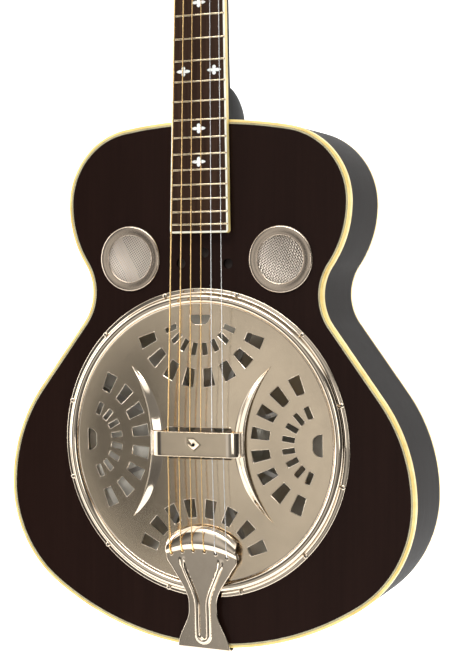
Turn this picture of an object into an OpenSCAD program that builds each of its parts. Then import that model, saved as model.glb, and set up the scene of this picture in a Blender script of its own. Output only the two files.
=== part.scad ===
// Resonator guitar, bench-built the way the real one is: a dark wooden body with a round soundwell,
// a spun cone under a spider bridge, a pierced nickel coverplate, a bound neck and six geared tuners.
//
// Whole frame: +Z runs up the neck, the soundboard faces -Y, the bass side is -X, and the origin is
// the centre of the end pin's outer face. Most parts are drawn in the face frame (x, u, h): x across,
// u up the body from the centre of the coverplate, and h out of the soundboard.
// The neck frame starts at the body joint and leans back; the head frame starts behind the nut.

/* [Body] */
// Depth of the body, soundboard to back
body_depth = 86; // [82:1:96]
// Half width of the lower bout
lower_half = 196; // [192:1:200]
// Half width of the waist
waist_half = 112.4; // [110:0.2:114]
// Half width of the upper bout
upper_half = 137.6; // [136:0.2:139]
// Coverplate centre to the tail
tail_reach = 184; // [182:1:186]
// Coverplate centre to the neck joint
neck_reach = 288; // [286:1:290]
// Radius of the tail curve
tail_r = 262; // [256:1:268]
// Radius of the flank above the lower bout
flank_r = 150; // [144:1:156]
// Radius of the upper bout below its widest line
shoulder_low_r = 100; // [94:1:104]
// Radius of the upper bout above its widest line
shoulder_r = 69; // [67:1:70]
// Height of the lower bout's widest line
lower_u = -47; // [-50:1:-44]
// Height of the waist
waist_u = 131; // [129:1:133]
// Height of the upper bout's widest line
upper_u = 213; // [211:1:215]
// Thickness of the soundboard
top_t = 4; // [3.5:0.5:5]
// Thickness of the back
back_t = 3.5; // [3:0.5:5]
// Thickness of the sides
side_t = 3; // [2.5:0.5:4]

/* [Binding] */
// Width of the binding round the soundboard
binding_w = 2.4; // [2:0.2:2.6]
// Height of the binding round the soundboard
binding_h = 6; // [5:0.5:8]
// Width of the line inlay inside the binding
purfling_w = 2; // [1:0.2:2.4]
// Depth of the line inlay
purfling_h = 1.8; // [1:0.2:2.4]
// Width of the binding round the back
back_binding_w = 1.6; // [1.2:0.2:2]
// Height of the binding round the back
back_binding_h = 5; // [4.5:0.5:7]

/* [Resonator] */
// Height of the resonator's centre over the centre of the body frame
resonator_u = -1.6; // [-2:0.2:-1]
// Radius of the coverplate
cover_r = 138; // [137.5:0.5:138.5]
// Turn of the coverplate on the soundboard
cover_turn = 1.2; // [0:0.2:2]
// Rise of the coverplate's domed middle over its edge
cover_dome = 8; // [6:0.5:9]
// Thickness of the coverplate
cover_t = 1; // [0.8:0.1:1.2]
// Height of the edge of the coverplate's face over the soundboard
cover_face_h = 3.4; // [3:0.2:4]
// Radius of the soundboard's round opening
well_r = 134; // [133:0.5:134]
// Outer radius of the soundwell's wall
well_wall_r = 141; // [140:0.5:142]
// Inner radius of the ledge that carries the cone
ledge_r = 121; // [118:1:123]
// Depth of the ledge under the soundboard's face
ledge_h = 14; // [12:1:16]
// Depth of the soundwell's lower edge
well_depth = 70; // [60:1:70]
// Radius of the cone's rim
cone_r = 133; // [130:0.5:133]
// Thickness of the cone
cone_t = 0.8; // [0.6:0.1:1]
// Distance of each fan of slots from the coverplate centre
fan_reach = 114; // [112:1:115]
// Height of the saddle's top over the soundboard
saddle_h = 17; // [16:0.5:18]
// Height of the palm rest over the soundboard
palm_h = 22; // [21:0.5:24]
// Distance across the outer strings at the saddle
saddle_spread = 53; // [50:1:54]

/* [Screens and sound holes] */
// Outer radius of a screen ring
screen_r = 30; // [28:0.5:31]
// Radius of the visible mesh
mesh_r = 21.4; // [20:0.2:22]
// Distance of each screen from the centre line
screen_x = 73.5; // [72:0.5:75]
// Height of the screens over the coverplate centre
screen_u = 162.5; // [162:0.5:164]
// Radius of a small sound hole
sound_hole_r = 4.5; // [4:0.5:5]

/* [Neck] */
// Scale length
scale_length = 635; // [630:1:640]
// Extra string length behind the scale at the saddle
compensation = 6; // [3:0.5:7]
// Number of frets
fret_count = 21; // [20:1:21]
// Half width of the neck at the nut
nut_half = 21.2; // [21:0.1:23]
// Half width of the fingerboard at its body end
board_half = 28.4; // [27:0.1:29]
// Thickness of the fingerboard
board_t = 6; // [5.5:0.5:7]
// Fingerboard end, measured down from the body joint
board_overhang = 102.5; // [101:0.5:104]
// Height of the fingerboard's underside over the soundboard at the joint
neck_rise = 1.2; // [1:0.1:2]
// Backward lean of the neck
neck_tilt = 1; // [0.8:0.1:1.5]
// Sideways place of the neck at the body joint
neck_x = -2.9; // [-3.5:0.1:0]
// Turn of the neck toward the bass side, degrees
neck_turn = 0.8; // [0:0.1:1]
// Depth of the neck behind the nut
shaft_d = 14.5; // [14:0.5:16]
// Depth of the neck above the heel
shaft_heel_d = 19; // [18:0.5:21]
// Depth of the heel at the body
heel_d = 74; // [72:1:76]
// Length of the heel's curve
heel_len = 28; // [26:1:32]

/* [Headstock and tuners] */
// Backward angle of the headstock against the neck
head_angle = 14; // [12:1:16]
// Thickness of the headstock with its veneer
head_t = 15; // [14:0.5:16]
// Length of the headstock
head_len = 158; // [154:1:162]
// Half width of the headstock at its foot
head_half = 36; // [35:0.5:37]
// Half width of the headstock at its tip
head_tip_half = 31; // [30:0.5:32]
// Distance between tuners
tuner_pitch = 38; // [37:0.5:39]
// First tuner above the nut
tuner_first = 45; // [44:0.5:46]
// Radius of a tuner post
post_r = 3; // [2.8:0.1:3.2]
// Running clearance round posts and worm shafts
run_gap = 0.05; // [0.02:0.01:0.1]
// Thickness of the nut
nut_t = 5; // [4:0.5:6]
// Distance across the outer strings at the nut
nut_spread = 36; // [35:0.5:37]

/* [End pin and tailpiece] */
// Radius of the end pin's head
pin_head_r = 6.5; // [6:0.5:7.5]
// Length of the end pin's head
pin_head_h = 3; // [2.5:0.5:3.5]
// Distance of the tail from the end pin's outer face
pin_reach = 9; // [9:0.1:9.5]
// Sideways offset of the tailpiece from the centre line
tail_x = 3.2; // [2.8:0.2:3.4]
// Thickness of the tailpiece's sheet
tail_t = 1.6; // [1.2:0.2:1.6]
// Upward lean of the tailpiece
tail_lean = 5.2; // [5:0.2:7]
// Height of the tailpiece's underside over the tail's edge
tail_rise = 2.1; // [2:0.1:2.4]

/* [Hidden] */
$fn = 64;
cut = 1;

cover_z = pin_reach + tail_reach;
inner_h = back_t - body_depth;

// Body outline: tangent arcs, each [centre x, centre u, radius]
tail_c = tail_r - tail_reach;
lower_r = (tail_r * tail_r - lower_half * lower_half - pow(tail_c - lower_u, 2))
    / (2 * (tail_r - lower_half));
lower_x = lower_half - lower_r;
flank_x = lower_half - flank_r;
waist_step = upper_half - waist_half;
waist_r = (waist_step * waist_step + pow(upper_u - waist_u, 2)) / (2 * waist_step) - shoulder_low_r;
waist_x = waist_half + waist_r;
shoulder_low_x = upper_half - shoulder_low_r;
shoulder_x = upper_half - shoulder_r;
crown_rise = neck_reach - upper_u;
crown_r = (shoulder_x * shoulder_x + crown_rise * crown_rise - shoulder_r * shoulder_r)
    / (2 * (crown_rise - shoulder_r));
crown_u = neck_reach - crown_r;
tail_turn = atan2(lower_u - tail_c, lower_x);
flank_to_waist = [waist_x - flank_x, waist_u - lower_u];
flank_turn = atan2(flank_to_waist[1], flank_to_waist[0])
    - acos((flank_r + waist_r) / norm(flank_to_waist));
waist_turn = atan2(upper_u - waist_u, shoulder_low_x - waist_x);
crown_turn = atan2(upper_u - crown_u, shoulder_x);

function arc(cx, cy, r, a0, a1, n) =
    [for (i = [0:n]) let (a = a0 + (a1 - a0) * i / n) [cx + r * cos(a), cy + r * sin(a)]];
function half_outline(inset) = concat(
    arc(0, tail_c, tail_r - inset, -90, tail_turn, 12),
    arc(lower_x, lower_u, lower_r - inset, tail_turn + 3, 0, 16),
    arc(flank_x, lower_u, flank_r - inset, 3, flank_turn, 10),
    arc(waist_x, waist_u, waist_r + inset, 180 + flank_turn, waist_turn, 12),
    arc(shoulder_low_x, upper_u, shoulder_low_r - inset, waist_turn - 180, 0, 9),
    arc(shoulder_x, upper_u, shoulder_r - inset, 4, crown_turn, 18),
    arc(0, crown_u, crown_r - inset, crown_turn + 2, 90, 5)
);
function mirrored(points) = [for (i = [len(points) - 1:-1:0]) [-points[i][0], points[i][1]]];
function smooth(t) = let (s = max(0, min(1, t))) s * s * (3 - 2 * s);

// Blocks, braces and their glue faces
neck_block_half = 32;
neck_block_u = 240;
tail_block_half = 28;
tail_block_u = 20 - tail_reach;
lining_w = 6;
lining_h = 14;
tenon_half = 13;
tenon_u = 262;
tenon_h = [-68, -8];

// Coverplate, palm rest and crescents
bead_x = 128.8;
bead_r = 4.5;
bead_h = 2;
flange_h = 1.2;
dome_r = 123.4;
cover_opening = [64, 28];
slot_turns = [9.5, 28.5, 47.5, 66.5];
crescent_h = 13.6;
crescent_rise = 4.7;
crescent_inner = [119, 85.5];
crescent_outer = [158, 113];
crescent_r = [33.5, 45, 98];
screw_ring_r = 136.2;
screw_count = 12;
screw_shank_r = 1.1;
screw_head_r = 2.3;
palm_half_x = 31;
palm_half_u = 11;
palm_bend = [12, 8.4];
palm_t = 1.5;
palm_foot = 1.9;
saddle_half_x = 30;
saddle_half_t = 2.5;
screen_hole_r = 26;
sleeve_t = 1.4;
mesh_t = 0.8;
mesh_step = 3;
mesh_bar = 1;

// Neck
nut_n = scale_length + compensation + resonator_u - neck_reach;
board_binding_w = 1.7;
fret_crown_r = 1.1;
fret_slot_w = 0.6;
fret_slot_d = 2;
marker_t = 1;
marker_frets = [3, 5, 7, 9, 15, 17];
heel_flat = 70;
truss_r = 3;
truss_g = -5.5;
truss_slot_w = 6.4;
truss_slot_d = 9;
function fret_n(k) = nut_n - scale_length * (1 - pow(2, -k / 12));
function half_at(n) =
    nut_half + (board_half - nut_half) * (nut_n - n) / (nut_n + board_overhang);

// Headstock and tuners
veneer_t = 1.2;
bushing_r = 5;
bushing_head_r = 6.2;
bushing_h = 2.4;
post_top = 10;
winding_r = 4;
winding_h = [3.4, 6.6];
worm_r = 2;
worm_drop = 4;
worm_offset = 7.9;
gear_r = 5.4;
gear_teeth = 14;
housing_wall = 1.2;
housing_half = 8;
housing_v = [-12.5, 7.5];
housing_depth = 9.5;
lug_len = 5.5;
button_gap = 19;
button_size = [14, 19, 6.5];

// Strings: radius of each, thin to thick
string_r = [0.2, 0.23, 0.33, 0.45, 0.56, 0.68];
string_rest = 1.7;
ball_end_r = 2;
hood_s = 97;
hood_t = -12.3;
hood_r = 16;
hood_turn = [36, 118];
hood_half = 34;
hole_s = 87.8;
hole_bow = 4.3;
hole_r = 1.6;
hole_x = 1.4;
hole_spread = 54;
string_hole_h = 5;
string_gap = 0.2;

module face() {
    translate([0, -body_depth / 2, cover_z]) rotate([90, 0, 0]) children();
}
module well() {
    face() translate([0, resonator_u, 0]) children();
}
module cover() {
    well() rotate(cover_turn) children();
}
module neck_frame() {
    face() translate([neck_x, neck_reach, neck_rise]) rotate(neck_turn)
        rotate([-neck_tilt, 0, 0]) children();
}
module head_frame() {
    neck_frame() translate([0, nut_n + nut_t, 0]) rotate([-head_angle, 0, 0]) children();
}
module tail_frame() {
    translate([tail_x, -tail_reach, tail_rise]) rotate([tail_lean, 0, 0]) children();
}
function neck_to_face(p) =
    let (along = p[1] * cos(neck_tilt) + p[2] * sin(neck_tilt))
    [
        neck_x + p[0] * cos(neck_turn) - along * sin(neck_turn),
        neck_reach + p[0] * sin(neck_turn) + along * cos(neck_turn),
        neck_rise - p[1] * sin(neck_tilt) + p[2] * cos(neck_tilt)
    ];
function head_to_face(p) = neck_to_face([
    p[0],
    nut_n + nut_t + p[1] * cos(head_angle) + p[2] * sin(head_angle),
    -p[1] * sin(head_angle) + p[2] * cos(head_angle)
]);
function tail_to_face(p) = [
    tail_x + p[0],
    -tail_reach + p[1] * cos(tail_lean) - p[2] * sin(tail_lean),
    tail_rise + p[1] * sin(tail_lean) + p[2] * cos(tail_lean)
];

module slab(h0, h1) {
    translate([0, 0, h0]) linear_extrude(h1 - h0) children();
}
module body_shape(inset) {
    polygon(concat(half_outline(inset), mirrored(half_outline(inset))));
}
module body_ring(outer, inner) {
    difference() {
        body_shape(outer);
        body_shape(inner);
    }
}
module block(x, u, h) {
    translate([x[0], u[0], h[0]]) cube([x[1] - x[0], u[1] - u[0], h[1] - h[0]]);
}
module centred_block(half, u, h) {
    block([-half, half], u, h);
}
module around(count, start, r) {
    for (i = [0:count - 1]) rotate(start + 360 * i / count) translate([r, 0, 0]) children();
}
module cover_screw_places() {
    cover() around(screw_count, 15, screw_ring_r) children();
}
// A straight rod between two points of the current frame
module rod(a, b, r) {
    d = b - a;
    translate(a) rotate([0, acos(d[2] / norm(d)), atan2(d[1], d[0])])
        cylinder(h = norm(d), r = r, $fn = 24);
}

// ---- Body ----

module sound_holes() {
    translate([0, screen_u + 5.7]) circle(sound_hole_r);
    for (side = [-1, 1]) translate([23 * side, screen_u - 4.2]) circle(sound_hole_r);
}
module top() {
    color("#2b1d17") difference() {
        face() difference() {
            union() {
                slab(-purfling_h, 0) body_shape(binding_w + purfling_w);
                slab(-top_t, -purfling_h) body_shape(binding_w);
            }
            slab(-top_t - cut, cut) {
                translate([0, resonator_u]) circle(well_r);
                for (side = [-1, 1]) translate([screen_x * side, screen_u]) circle(screen_hole_r);
                sound_holes();
            }
        }
        cover_screw_places() translate([0, 0, -top_t - cut])
            cylinder(r = screw_shank_r, h = top_t + 2 * cut);
    }
}
module back() {
    color("#4a3f39") face() slab(-body_depth, inner_h) body_shape(back_binding_w);
}
module side(hand) {
    color("#4b4440") face() difference() {
        slab(back_binding_h - body_depth, -binding_h) intersection() {
            body_ring(0, side_t);
            translate([min(0, hand * 300), -300]) square([300, 700]);
        }
        centred_block(tenon_half, [tenon_u, neck_reach + cut], tenon_h);
        translate([0, cut - tail_reach + side_t, -body_depth / 2]) rotate([90, 0, 0])
            cylinder(r = 3.5, h = side_t + 2 * cut);
    }
}
module side_bass() {
    side(-1);
}
module side_treble() {
    side(1);
}
module top_binding() {
    color("#ead9a0") face() slab(-binding_h, 0) body_ring(0, binding_w);
}
module top_purfling() {
    color("#d8cfa8") face() slab(-purfling_h, 0) body_ring(binding_w, binding_w + purfling_w);
}
module back_binding() {
    color("#ead9a0") face() slab(-body_depth, back_binding_h - body_depth) body_ring(0, back_binding_w);
}
module neck_block() {
    color("#b98d5a") face() difference() {
        intersection() {
            slab(inner_h, -top_t) body_shape(side_t);
            centred_block(neck_block_half, [neck_block_u, neck_reach], [-body_depth, 0]);
        }
        centred_block(tenon_half, [tenon_u, neck_reach + cut], tenon_h);
    }
}
module tail_block() {
    color("#b98d5a") face() difference() {
        intersection() {
            slab(inner_h, -top_t) body_shape(side_t);
            centred_block(tail_block_half, [-tail_reach, tail_block_u], [-body_depth, 0]);
        }
        translate([0, tail_block_u + cut, -body_depth / 2]) rotate([90, 0, 0]) cylinder(r = 3.5, h = 30);
    }
}
// A strip of lining inside the sides, stopped at both blocks
module lining(edge, rim, depth, inset) {
    color("#c9a36d") face() difference() {
        union() {
            slab(min(edge, rim), max(edge, rim)) body_ring(inset, side_t + lining_w);
            slab(min(rim, depth), max(rim, depth)) body_ring(side_t, side_t + lining_w);
        }
        centred_block(neck_block_half, [neck_block_u, neck_reach], [-body_depth, 0]);
        centred_block(tail_block_half, [-tail_reach, tail_block_u], [-body_depth, 0]);
    }
}
module top_lining() {
    lining(-top_t, -binding_h, -binding_h - lining_h, binding_w);
}
module back_lining() {
    lining(inner_h, back_binding_h - body_depth, back_binding_h - body_depth + lining_h, back_binding_w);
}
module top_braces() {
    color("#d9b882") face() {
        centred_block(108, [198, 208], [-top_t - 12, -top_t]);
        for (side = [-1, 1]) block(side > 0 ? [143, 186] : [-186, -143], [-40, -32], [-top_t - 10, -top_t]);
    }
}
module back_braces() {
    color("#d9b882") face() {
        centred_block(124, [206, 218], [inner_h, inner_h + 11]);
        centred_block(106, [100, 112], [inner_h, inner_h + 11]);
        centred_block(183, [-34, -20], [inner_h, inner_h + 11]);
        centred_block(150, [-126, -112], [inner_h, inner_h + 11]);
    }
}

// ---- Resonator ----

module soundwell() {
    color("#c9a36d") difference() {
        well() difference() {
            rotate_extrude() polygon([
                [ledge_r, -ledge_h - 8], [well_r, -ledge_h - 8], [well_r, -well_depth],
                [well_wall_r, -well_depth], [well_wall_r, -top_t], [well_r, -top_t],
                [well_r, -ledge_h], [ledge_r, -ledge_h]
            ]);
            translate([0, 0, -46]) around(8, 22.5, well_r - 2) rotate([0, 90, 0])
                cylinder(r = 15, h = 12);
        }
        cover_screw_places() translate([0, 0, -12]) cylinder(r = screw_shank_r, h = 12);
    }
}
cone_line = [
    [1.8, -16], [8, -17], [36, -42], [42, -45.5], [48, -46.5], [54, -45], [60, -42],
    [117, -17], [121, -ledge_h + cone_t], [cone_r, -ledge_h + cone_t]
];
module cone() {
    color("#c7c8c6") well() rotate_extrude() polygon(concat(
        cone_line,
        [for (i = [len(cone_line) - 1:-1:0]) cone_line[i] - [0, cone_t]]
    ));
}
spider_seat = cone_t - ledge_h;
module spider_leg() {
    translate([0, 2, 0]) rotate([90, 0, 0]) linear_extrude(4) polygon([
        [6, -4], [6, -13], [60, -9.5], [124, spider_seat], [132, spider_seat], [132, -9.5], [60, -5]
    ]);
}
module spider() {
    color("#9fa3a4") well() difference() {
        union() {
            slab(-13, -4) circle(14);
            centred_block(31, [-6, 6], [-12, 1]);
            around(8, 22.5, 0) spider_leg();
        }
        centred_block(saddle_half_x + 0.2, [-saddle_half_t, saddle_half_t], [-7, 2]);
        translate([0, 0, -20]) cylinder(r = 1.8, h = 30);
    }
}
module saddle() {
    color("#d8b277") well() difference() {
        centred_block(saddle_half_x, [-saddle_half_t, saddle_half_t], [-7, saddle_h]);
        translate([0, 0, -8]) cylinder(r = 2, h = 9);
        centred_block(3.4, [-3, 3], [1, saddle_h + 1]);
    }
}
module tension_screw() {
    color("#b9bbb8") well() {
        slab(-19, 1) circle(1.6);
        slab(1, 3.4) circle(3);
    }
}
// One fan of slots, opening towards the coverplate centre
module fan() {
    intersection() {
        circle(10);
        translate([-8.5, -10]) square([8.5, 20]);
    }
    for (turn = slot_turns, side = [-1, 1]) rotate(180 + side * turn) {
        translate([25.2, -2.5]) square([11.3, 5]);
        polygon([[48, -4.1], [64.6, -5.6], [64.6, 5.6], [48, 4.1]]);
    }
}
module fans() {
    for (i = [0:3]) rotate(90 * i) translate([fan_reach, 0]) fan();
}
function dome_at(r) = cover_face_h + cover_dome * pow(1 - pow(min(1, r / dome_r), 2), 2);
function ridge_at(r) = r < crescent_r[1]
    ? crescent_rise * (r - crescent_r[0]) / (crescent_r[1] - crescent_r[0])
    : crescent_rise * (crescent_r[2] - r) / (crescent_r[2] - crescent_r[1]);
// Ridge beside the palm rest, rising outwards from the domed face to a flat land at its middle
module crescent() {
    radii = [crescent_r[0] - 3, 37, 40, 43.6, 45, 49, 56, 64, 74, 86, crescent_r[2]];
    intersection() {
        slab(0, crescent_h) difference() {
            translate([crescent_inner[0], 0]) circle(crescent_inner[1], $fn = 120);
            translate([crescent_outer[0], 0]) circle(crescent_outer[1], $fn = 120);
            translate([72, -200]) square([300, 400]);
        }
        rotate_extrude($fn = 96) polygon(concat(
            [for (r = radii) [r, dome_at(r) - cover_t]],
            [for (i = [len(radii) - 1:-1:0])
                [radii[i], min(crescent_h, dome_at(radii[i]) + max(0, ridge_at(radii[i])))]]
        ));
    }
}
module coverplate() {
    face_under = cover_face_h - cover_t;
    bead_in = bead_x - bead_r;
    bead_out = bead_x + bead_r;
    dome_radii = [0, 15, 30, 45, 60, 75, 90, 105, 118, dome_r];
    color("#b9ad9d") difference() {
        cover() {
            rotate_extrude($fn = 96) polygon(concat(
                [[dome_r - 2, face_under], [bead_in + cover_t, face_under]],
                arc(bead_x, bead_h, bead_r - cover_t, 150, 30, 8),
                [[bead_out - cover_t, 0], [cover_r, 0], [cover_r, flange_h], [bead_out, flange_h]],
                arc(bead_x, bead_h, bead_r, 10, 160, 10),
                [[bead_in - 0.2, cover_face_h], [dome_r - 2, cover_face_h]]
            ));
            difference() {
                rotate_extrude($fn = 96) polygon(concat(
                    [for (r = dome_radii) [r, dome_at(r) - cover_t]],
                    [for (i = [len(dome_radii) - 1:-1:0]) [dome_radii[i], dome_at(dome_radii[i])]]
                ));
                slab(0, crescent_h) {
                    fans();
                    square(cover_opening, center = true);
                }
            }
            for (turn = [0, 180]) rotate(turn) crescent();
        }
        cover_screw_places() translate([0, 0, -cut]) cylinder(r = screw_shank_r + 0.1, h = 4);
    }
}
module coverplate_screws() {
    color("#cfc8bd") cover_screw_places() {
        translate([0, 0, -10]) cylinder(r = screw_shank_r, h = 10 + flange_h);
        intersection() {
            translate([0, 0, flange_h]) cylinder(r = screw_head_r, h = 3);
            translate([0, 0, flange_h - 1]) sphere(r = 2.6);
        }
    }
}
module palm_rest() {
    low = palm_h - palm_bend[1];
    leg_x = palm_half_x + palm_bend[0];
    outside = [for (a = [0:11.25:90])
        [palm_half_x + palm_bend[0] * cos(a), low + palm_bend[1] * sin(a)]];
    inside = [for (a = [90:-11.25:0])
        [palm_half_x + (palm_bend[0] - palm_t) * cos(a), low + (palm_bend[1] - palm_t) * sin(a)]];
    foot = [[leg_x + palm_foot, low], [leg_x + palm_foot, low + 1.2], [leg_x, low + 1.2]];
    half = concat(foot, [for (i = [2:len(outside) - 1]) outside[i]]);
    color("#b9ad9d") cover() difference() {
        translate([0, palm_half_u, 0]) rotate([90, 0, 0]) linear_extrude(2 * palm_half_u)
            polygon(concat(half, mirrored(half), mirrored(inside), inside));
        translate([0, 0, palm_h - 5]) cylinder(r = 1.6, h = 10);
    }
}
module screen_place(hand) {
    face() translate([screen_x * hand, screen_u, 0]) children();
}
module screen_ring(hand) {
    color("#b9ad9d") screen_place(hand) rotate_extrude() polygon([
        [mesh_r, mesh_t], [mesh_r, 1.8], [mesh_r + 1, 2.6], [screen_r - 1.6, 2.6], [screen_r, 1.2],
        [screen_r, 0], [screen_hole_r, 0], [screen_hole_r, -6], [screen_hole_r - sleeve_t, -6],
        [screen_hole_r - sleeve_t, mesh_t]
    ]);
}
module screen_mesh(hand) {
    n = floor(mesh_r / mesh_step);
    color("#8f8a82") screen_place(hand) linear_extrude(mesh_t) difference() {
        circle(screen_hole_r - sleeve_t);
        for (i = [-n:n], j = [-n:n])
            if (norm([i, j]) * mesh_step < mesh_r - 1)
                translate([i, j] * mesh_step) square(mesh_step - mesh_bar, center = true);
    }
}
module screen_ring_bass() {
    screen_ring(-1);
}
module screen_ring_treble() {
    screen_ring(1);
}
module screen_mesh_bass() {
    screen_mesh(-1);
}
module screen_mesh_treble() {
    screen_mesh(1);
}

// ---- Tailpiece and end pin ----

function tail_half(s) = s < 40 ? 25 - 11.5 * smooth(s / 34) : 13.5 + 20.5 * smooth((s - 40) / 46);
function rib_half(s) = 5.2 + 13.5 * smooth((s - 38) / 44);
rib_bow = [0, 11.8];
rib_w = 2.3;
module tail_plate() {
    half = [for (s = [0:3:90]) [tail_half(s), s]];
    polygon(concat(half, mirrored(half)));
}
module tail_rib() {
    outer = concat(
        arc(rib_bow[0], rib_bow[1], rib_half(0) + rib_w, -90, 0, 6),
        [for (s = [20:5:80]) [rib_half(s) + rib_w, s]]
    );
    inner = concat(
        [for (s = [80:-5:20]) [rib_half(s) - rib_w, s]],
        arc(rib_bow[0], rib_bow[1], rib_half(0) - rib_w, 0, -90, 6)
    );
    for (hand = [0, 1]) mirror([hand, 0]) polygon(concat(outer, inner));
}
// Arched sheet that the strings bend over, cut to a bow where it meets the coverplate
module tail_hood() {
    far = [for (x = [-hood_half:4:hood_half]) [x, 112 - 13 * pow(x / hood_half, 2)]];
    intersection() {
        translate([-hood_half, hood_s, hood_t]) rotate([90, 0, 90]) linear_extrude(2 * hood_half)
            polygon(concat(
                arc(0, 0, hood_r, hood_turn[0], hood_turn[1], 12),
                arc(0, 0, hood_r - tail_t, hood_turn[1], hood_turn[0], 12)
            ));
        slab(-20, 20) polygon(concat([[hood_half, 80], [-hood_half, 80]], far));
    }
}
function string_x(k, spread) = spread / 2 - (k - 1) * spread / 5;
function hole_at(k) =
    let (x = string_x(k, hole_spread))
    [hole_x - tail_x + x, hole_s - hole_bow * pow(2 * x / hole_spread, 2)];
module tailpiece() {
    strap_h = 8 - body_depth / 2;
    color("#b9ad9d") face() {
        tail_frame() difference() {
            union() {
                linear_extrude(tail_t) tail_plate();
                linear_extrude(tail_t + 2) tail_rib();
                tail_hood();
            }
            for (k = [1:6]) translate([each hole_at(k), -5]) cylinder(r = hole_r, h = 12);
        }
        // Strap that turns over the tail and is held by the end pin
        translate([0, -tail_reach, 0]) rotate([90, 0, 0]) linear_extrude(tail_t) difference() {
            union() {
                polygon([
                    [tail_x - 25, tail_rise + 1], [tail_x - 25, -6], [-12, strap_h],
                    [12, strap_h], [tail_x + 25, -6], [tail_x + 25, tail_rise + 1]
                ]);
                translate([0, -body_depth / 2]) circle(14);
            }
            translate([0, -body_depth / 2]) circle(3.6);
        }
    }
}
module end_pin() {
    color("#cfc8bd") rotate_extrude() polygon([
        [0, 0], [pin_head_r, 0], [pin_head_r, pin_head_h], [4.2, pin_head_h + 1.6],
        [4.2, pin_head_h + 2.4], [7, pin_reach - tail_t], [3.5, pin_reach - tail_t],
        [3.5, pin_reach + 19], [0, pin_reach + 19]
    ]);
}

// ---- Neck ----

heel_steps = 9;
shaft_stops = [40, 80, 140, 200, 260, 320, nut_n + nut_t + 4];
neck_stops = concat(
    [-4],
    [for (i = [0:heel_steps]) heel_len * sin(90 * i / heel_steps)],
    shaft_stops
);
function shaft_depth(n) = shaft_d + (shaft_heel_d - shaft_d) * (nut_n - n) / nut_n;
function neck_depth(n) = n < heel_len
    ? shaft_heel_d + (heel_d - shaft_heel_d) * sqrt(1 - pow(max(0, n) / heel_len, 2))
    : shaft_depth(n);
section_steps = 24;
function neck_section(n) = [
    for (i = [0:section_steps])
        let (a = 180 * i / section_steps, w = half_at(min(n, nut_n)))
        [w * sign(cos(a)) * pow(abs(cos(a)), 0.8), n, -neck_depth(n) * pow(max(0, sin(a)), 0.85)]
];
// Loft through the sections, closed along the flat top and at both ends
module neck_loft() {
    rows = len(neck_stops);
    cols = section_steps + 1;
    points = [for (n = neck_stops) each neck_section(n)];
    skin = [
        for (r = [0:rows - 2], c = [0:cols - 1])
            let (a = r * cols + c, b = r * cols + (c + 1) % cols)
            [a, a + cols, b + cols, b]
    ];
    start = [[for (c = [0:cols - 1]) c]];
    finish = [[for (c = [cols - 1:-1:0]) (rows - 1) * cols + c]];
    polyhedron(points, concat(skin, start, finish), convexity = 4);
}
module neck_tongue() {
    end = 3 - board_overhang;
    lift = board_overhang * sin(neck_tilt);
    translate([neck_x, neck_reach, 0]) rotate(neck_turn) difference() {
        slab(0, neck_rise + lift + 2) polygon([
            [-half_at(0) + 1.5, 2], [half_at(0) - 1.5, 2],
            [half_at(-board_overhang) - 1.5, end], [-half_at(-board_overhang) + 1.5, end]
        ]);
        translate([0, 0, neck_rise]) rotate([-neck_tilt, 0, 0])
            centred_block(60, [-board_overhang - 20, 20], [0, 30]);
    }
}
module truss_slot() {
    centred_block(truss_slot_w / 2, [6, nut_n + nut_t + 10], [-truss_slot_d, cut]);
}
// The body's end, which the heel sits against
module crown_cut() {
    face() translate([0, crown_u, -body_depth - 10])
        cylinder(r = crown_r, h = body_depth + 10, $fn = 720);
}
module neck() {
    color("#4b4440") {
        difference() {
            neck_frame() difference() {
                neck_loft();
                centred_block(60, [-20, 60], [-heel_d - 20, -heel_flat]);
                truss_slot();
            }
            head_frame() centred_block(60, [0, 60], [-60, 40]);
            crown_cut();
        }
        face() centred_block(tenon_half, [tenon_u, neck_reach + 3], tenon_h);
        face() neck_tongue();
    }
}
module heel_cap() {
    color("#e8dcb4") difference() {
        neck_frame() intersection() {
            neck_loft();
            centred_block(60, [-20, 60], [-heel_flat - 2, -heel_flat]);
        }
        crown_cut();
    }
}
module truss_rod() {
    color("#9a9a98") neck_frame() {
        translate([0, 8, truss_g]) rotate([-90, 0, 0]) cylinder(r = truss_r, h = nut_n - 12);
        translate([0, nut_n - 4, truss_g]) rotate([-90, 0, 0]) cylinder(r = 1.8, h = 14);
        translate([0, nut_n + 8, truss_g]) rotate([-90, 0, 0]) cylinder(r = 3.2, h = 7, $fn = 6);
    }
}
module board_shape(inset, end_inset) {
    polygon([
        [-half_at(nut_n) + inset, nut_n], [half_at(nut_n) - inset, nut_n],
        [half_at(-board_overhang) - inset, end_inset - board_overhang],
        [-half_at(-board_overhang) + inset, end_inset - board_overhang]
    ]);
}
// Four-petal marker: pointed side petals and round upper and lower ones
module marker() {
    for (side = [-1, 1]) {
        translate([3.3 * side, 0]) intersection() {
            translate([0, -3.4]) circle(4.9);
            translate([0, 3.4]) circle(4.9);
        }
        translate([0, 2.6 * side]) circle(1.8);
    }
    circle(2);
}
module markers() {
    for (k = marker_frets) translate([0, (fret_n(k) + fret_n(k - 1)) / 2]) marker();
    for (side = [-1, 1]) translate([15 * side, (fret_n(12) + fret_n(11)) / 2]) marker();
}
module fingerboard() {
    color("#3a2a22") neck_frame() difference() {
        linear_extrude(board_t) board_shape(board_binding_w, board_binding_w);
        for (k = [1:fret_count])
            centred_block(40, [fret_n(k) - fret_slot_w / 2, fret_n(k) + fret_slot_w / 2],
                [board_t - fret_slot_d, board_t + cut]);
        translate([0, 0, board_t - marker_t]) linear_extrude(marker_t + cut) markers();
    }
}
module fingerboard_binding() {
    color("#f0e6c2") neck_frame() linear_extrude(board_t) difference() {
        board_shape(0, 0);
        board_shape(board_binding_w, board_binding_w);
        translate([-60, nut_n - 0.01]) square([120, 10]);
    }
}
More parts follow.
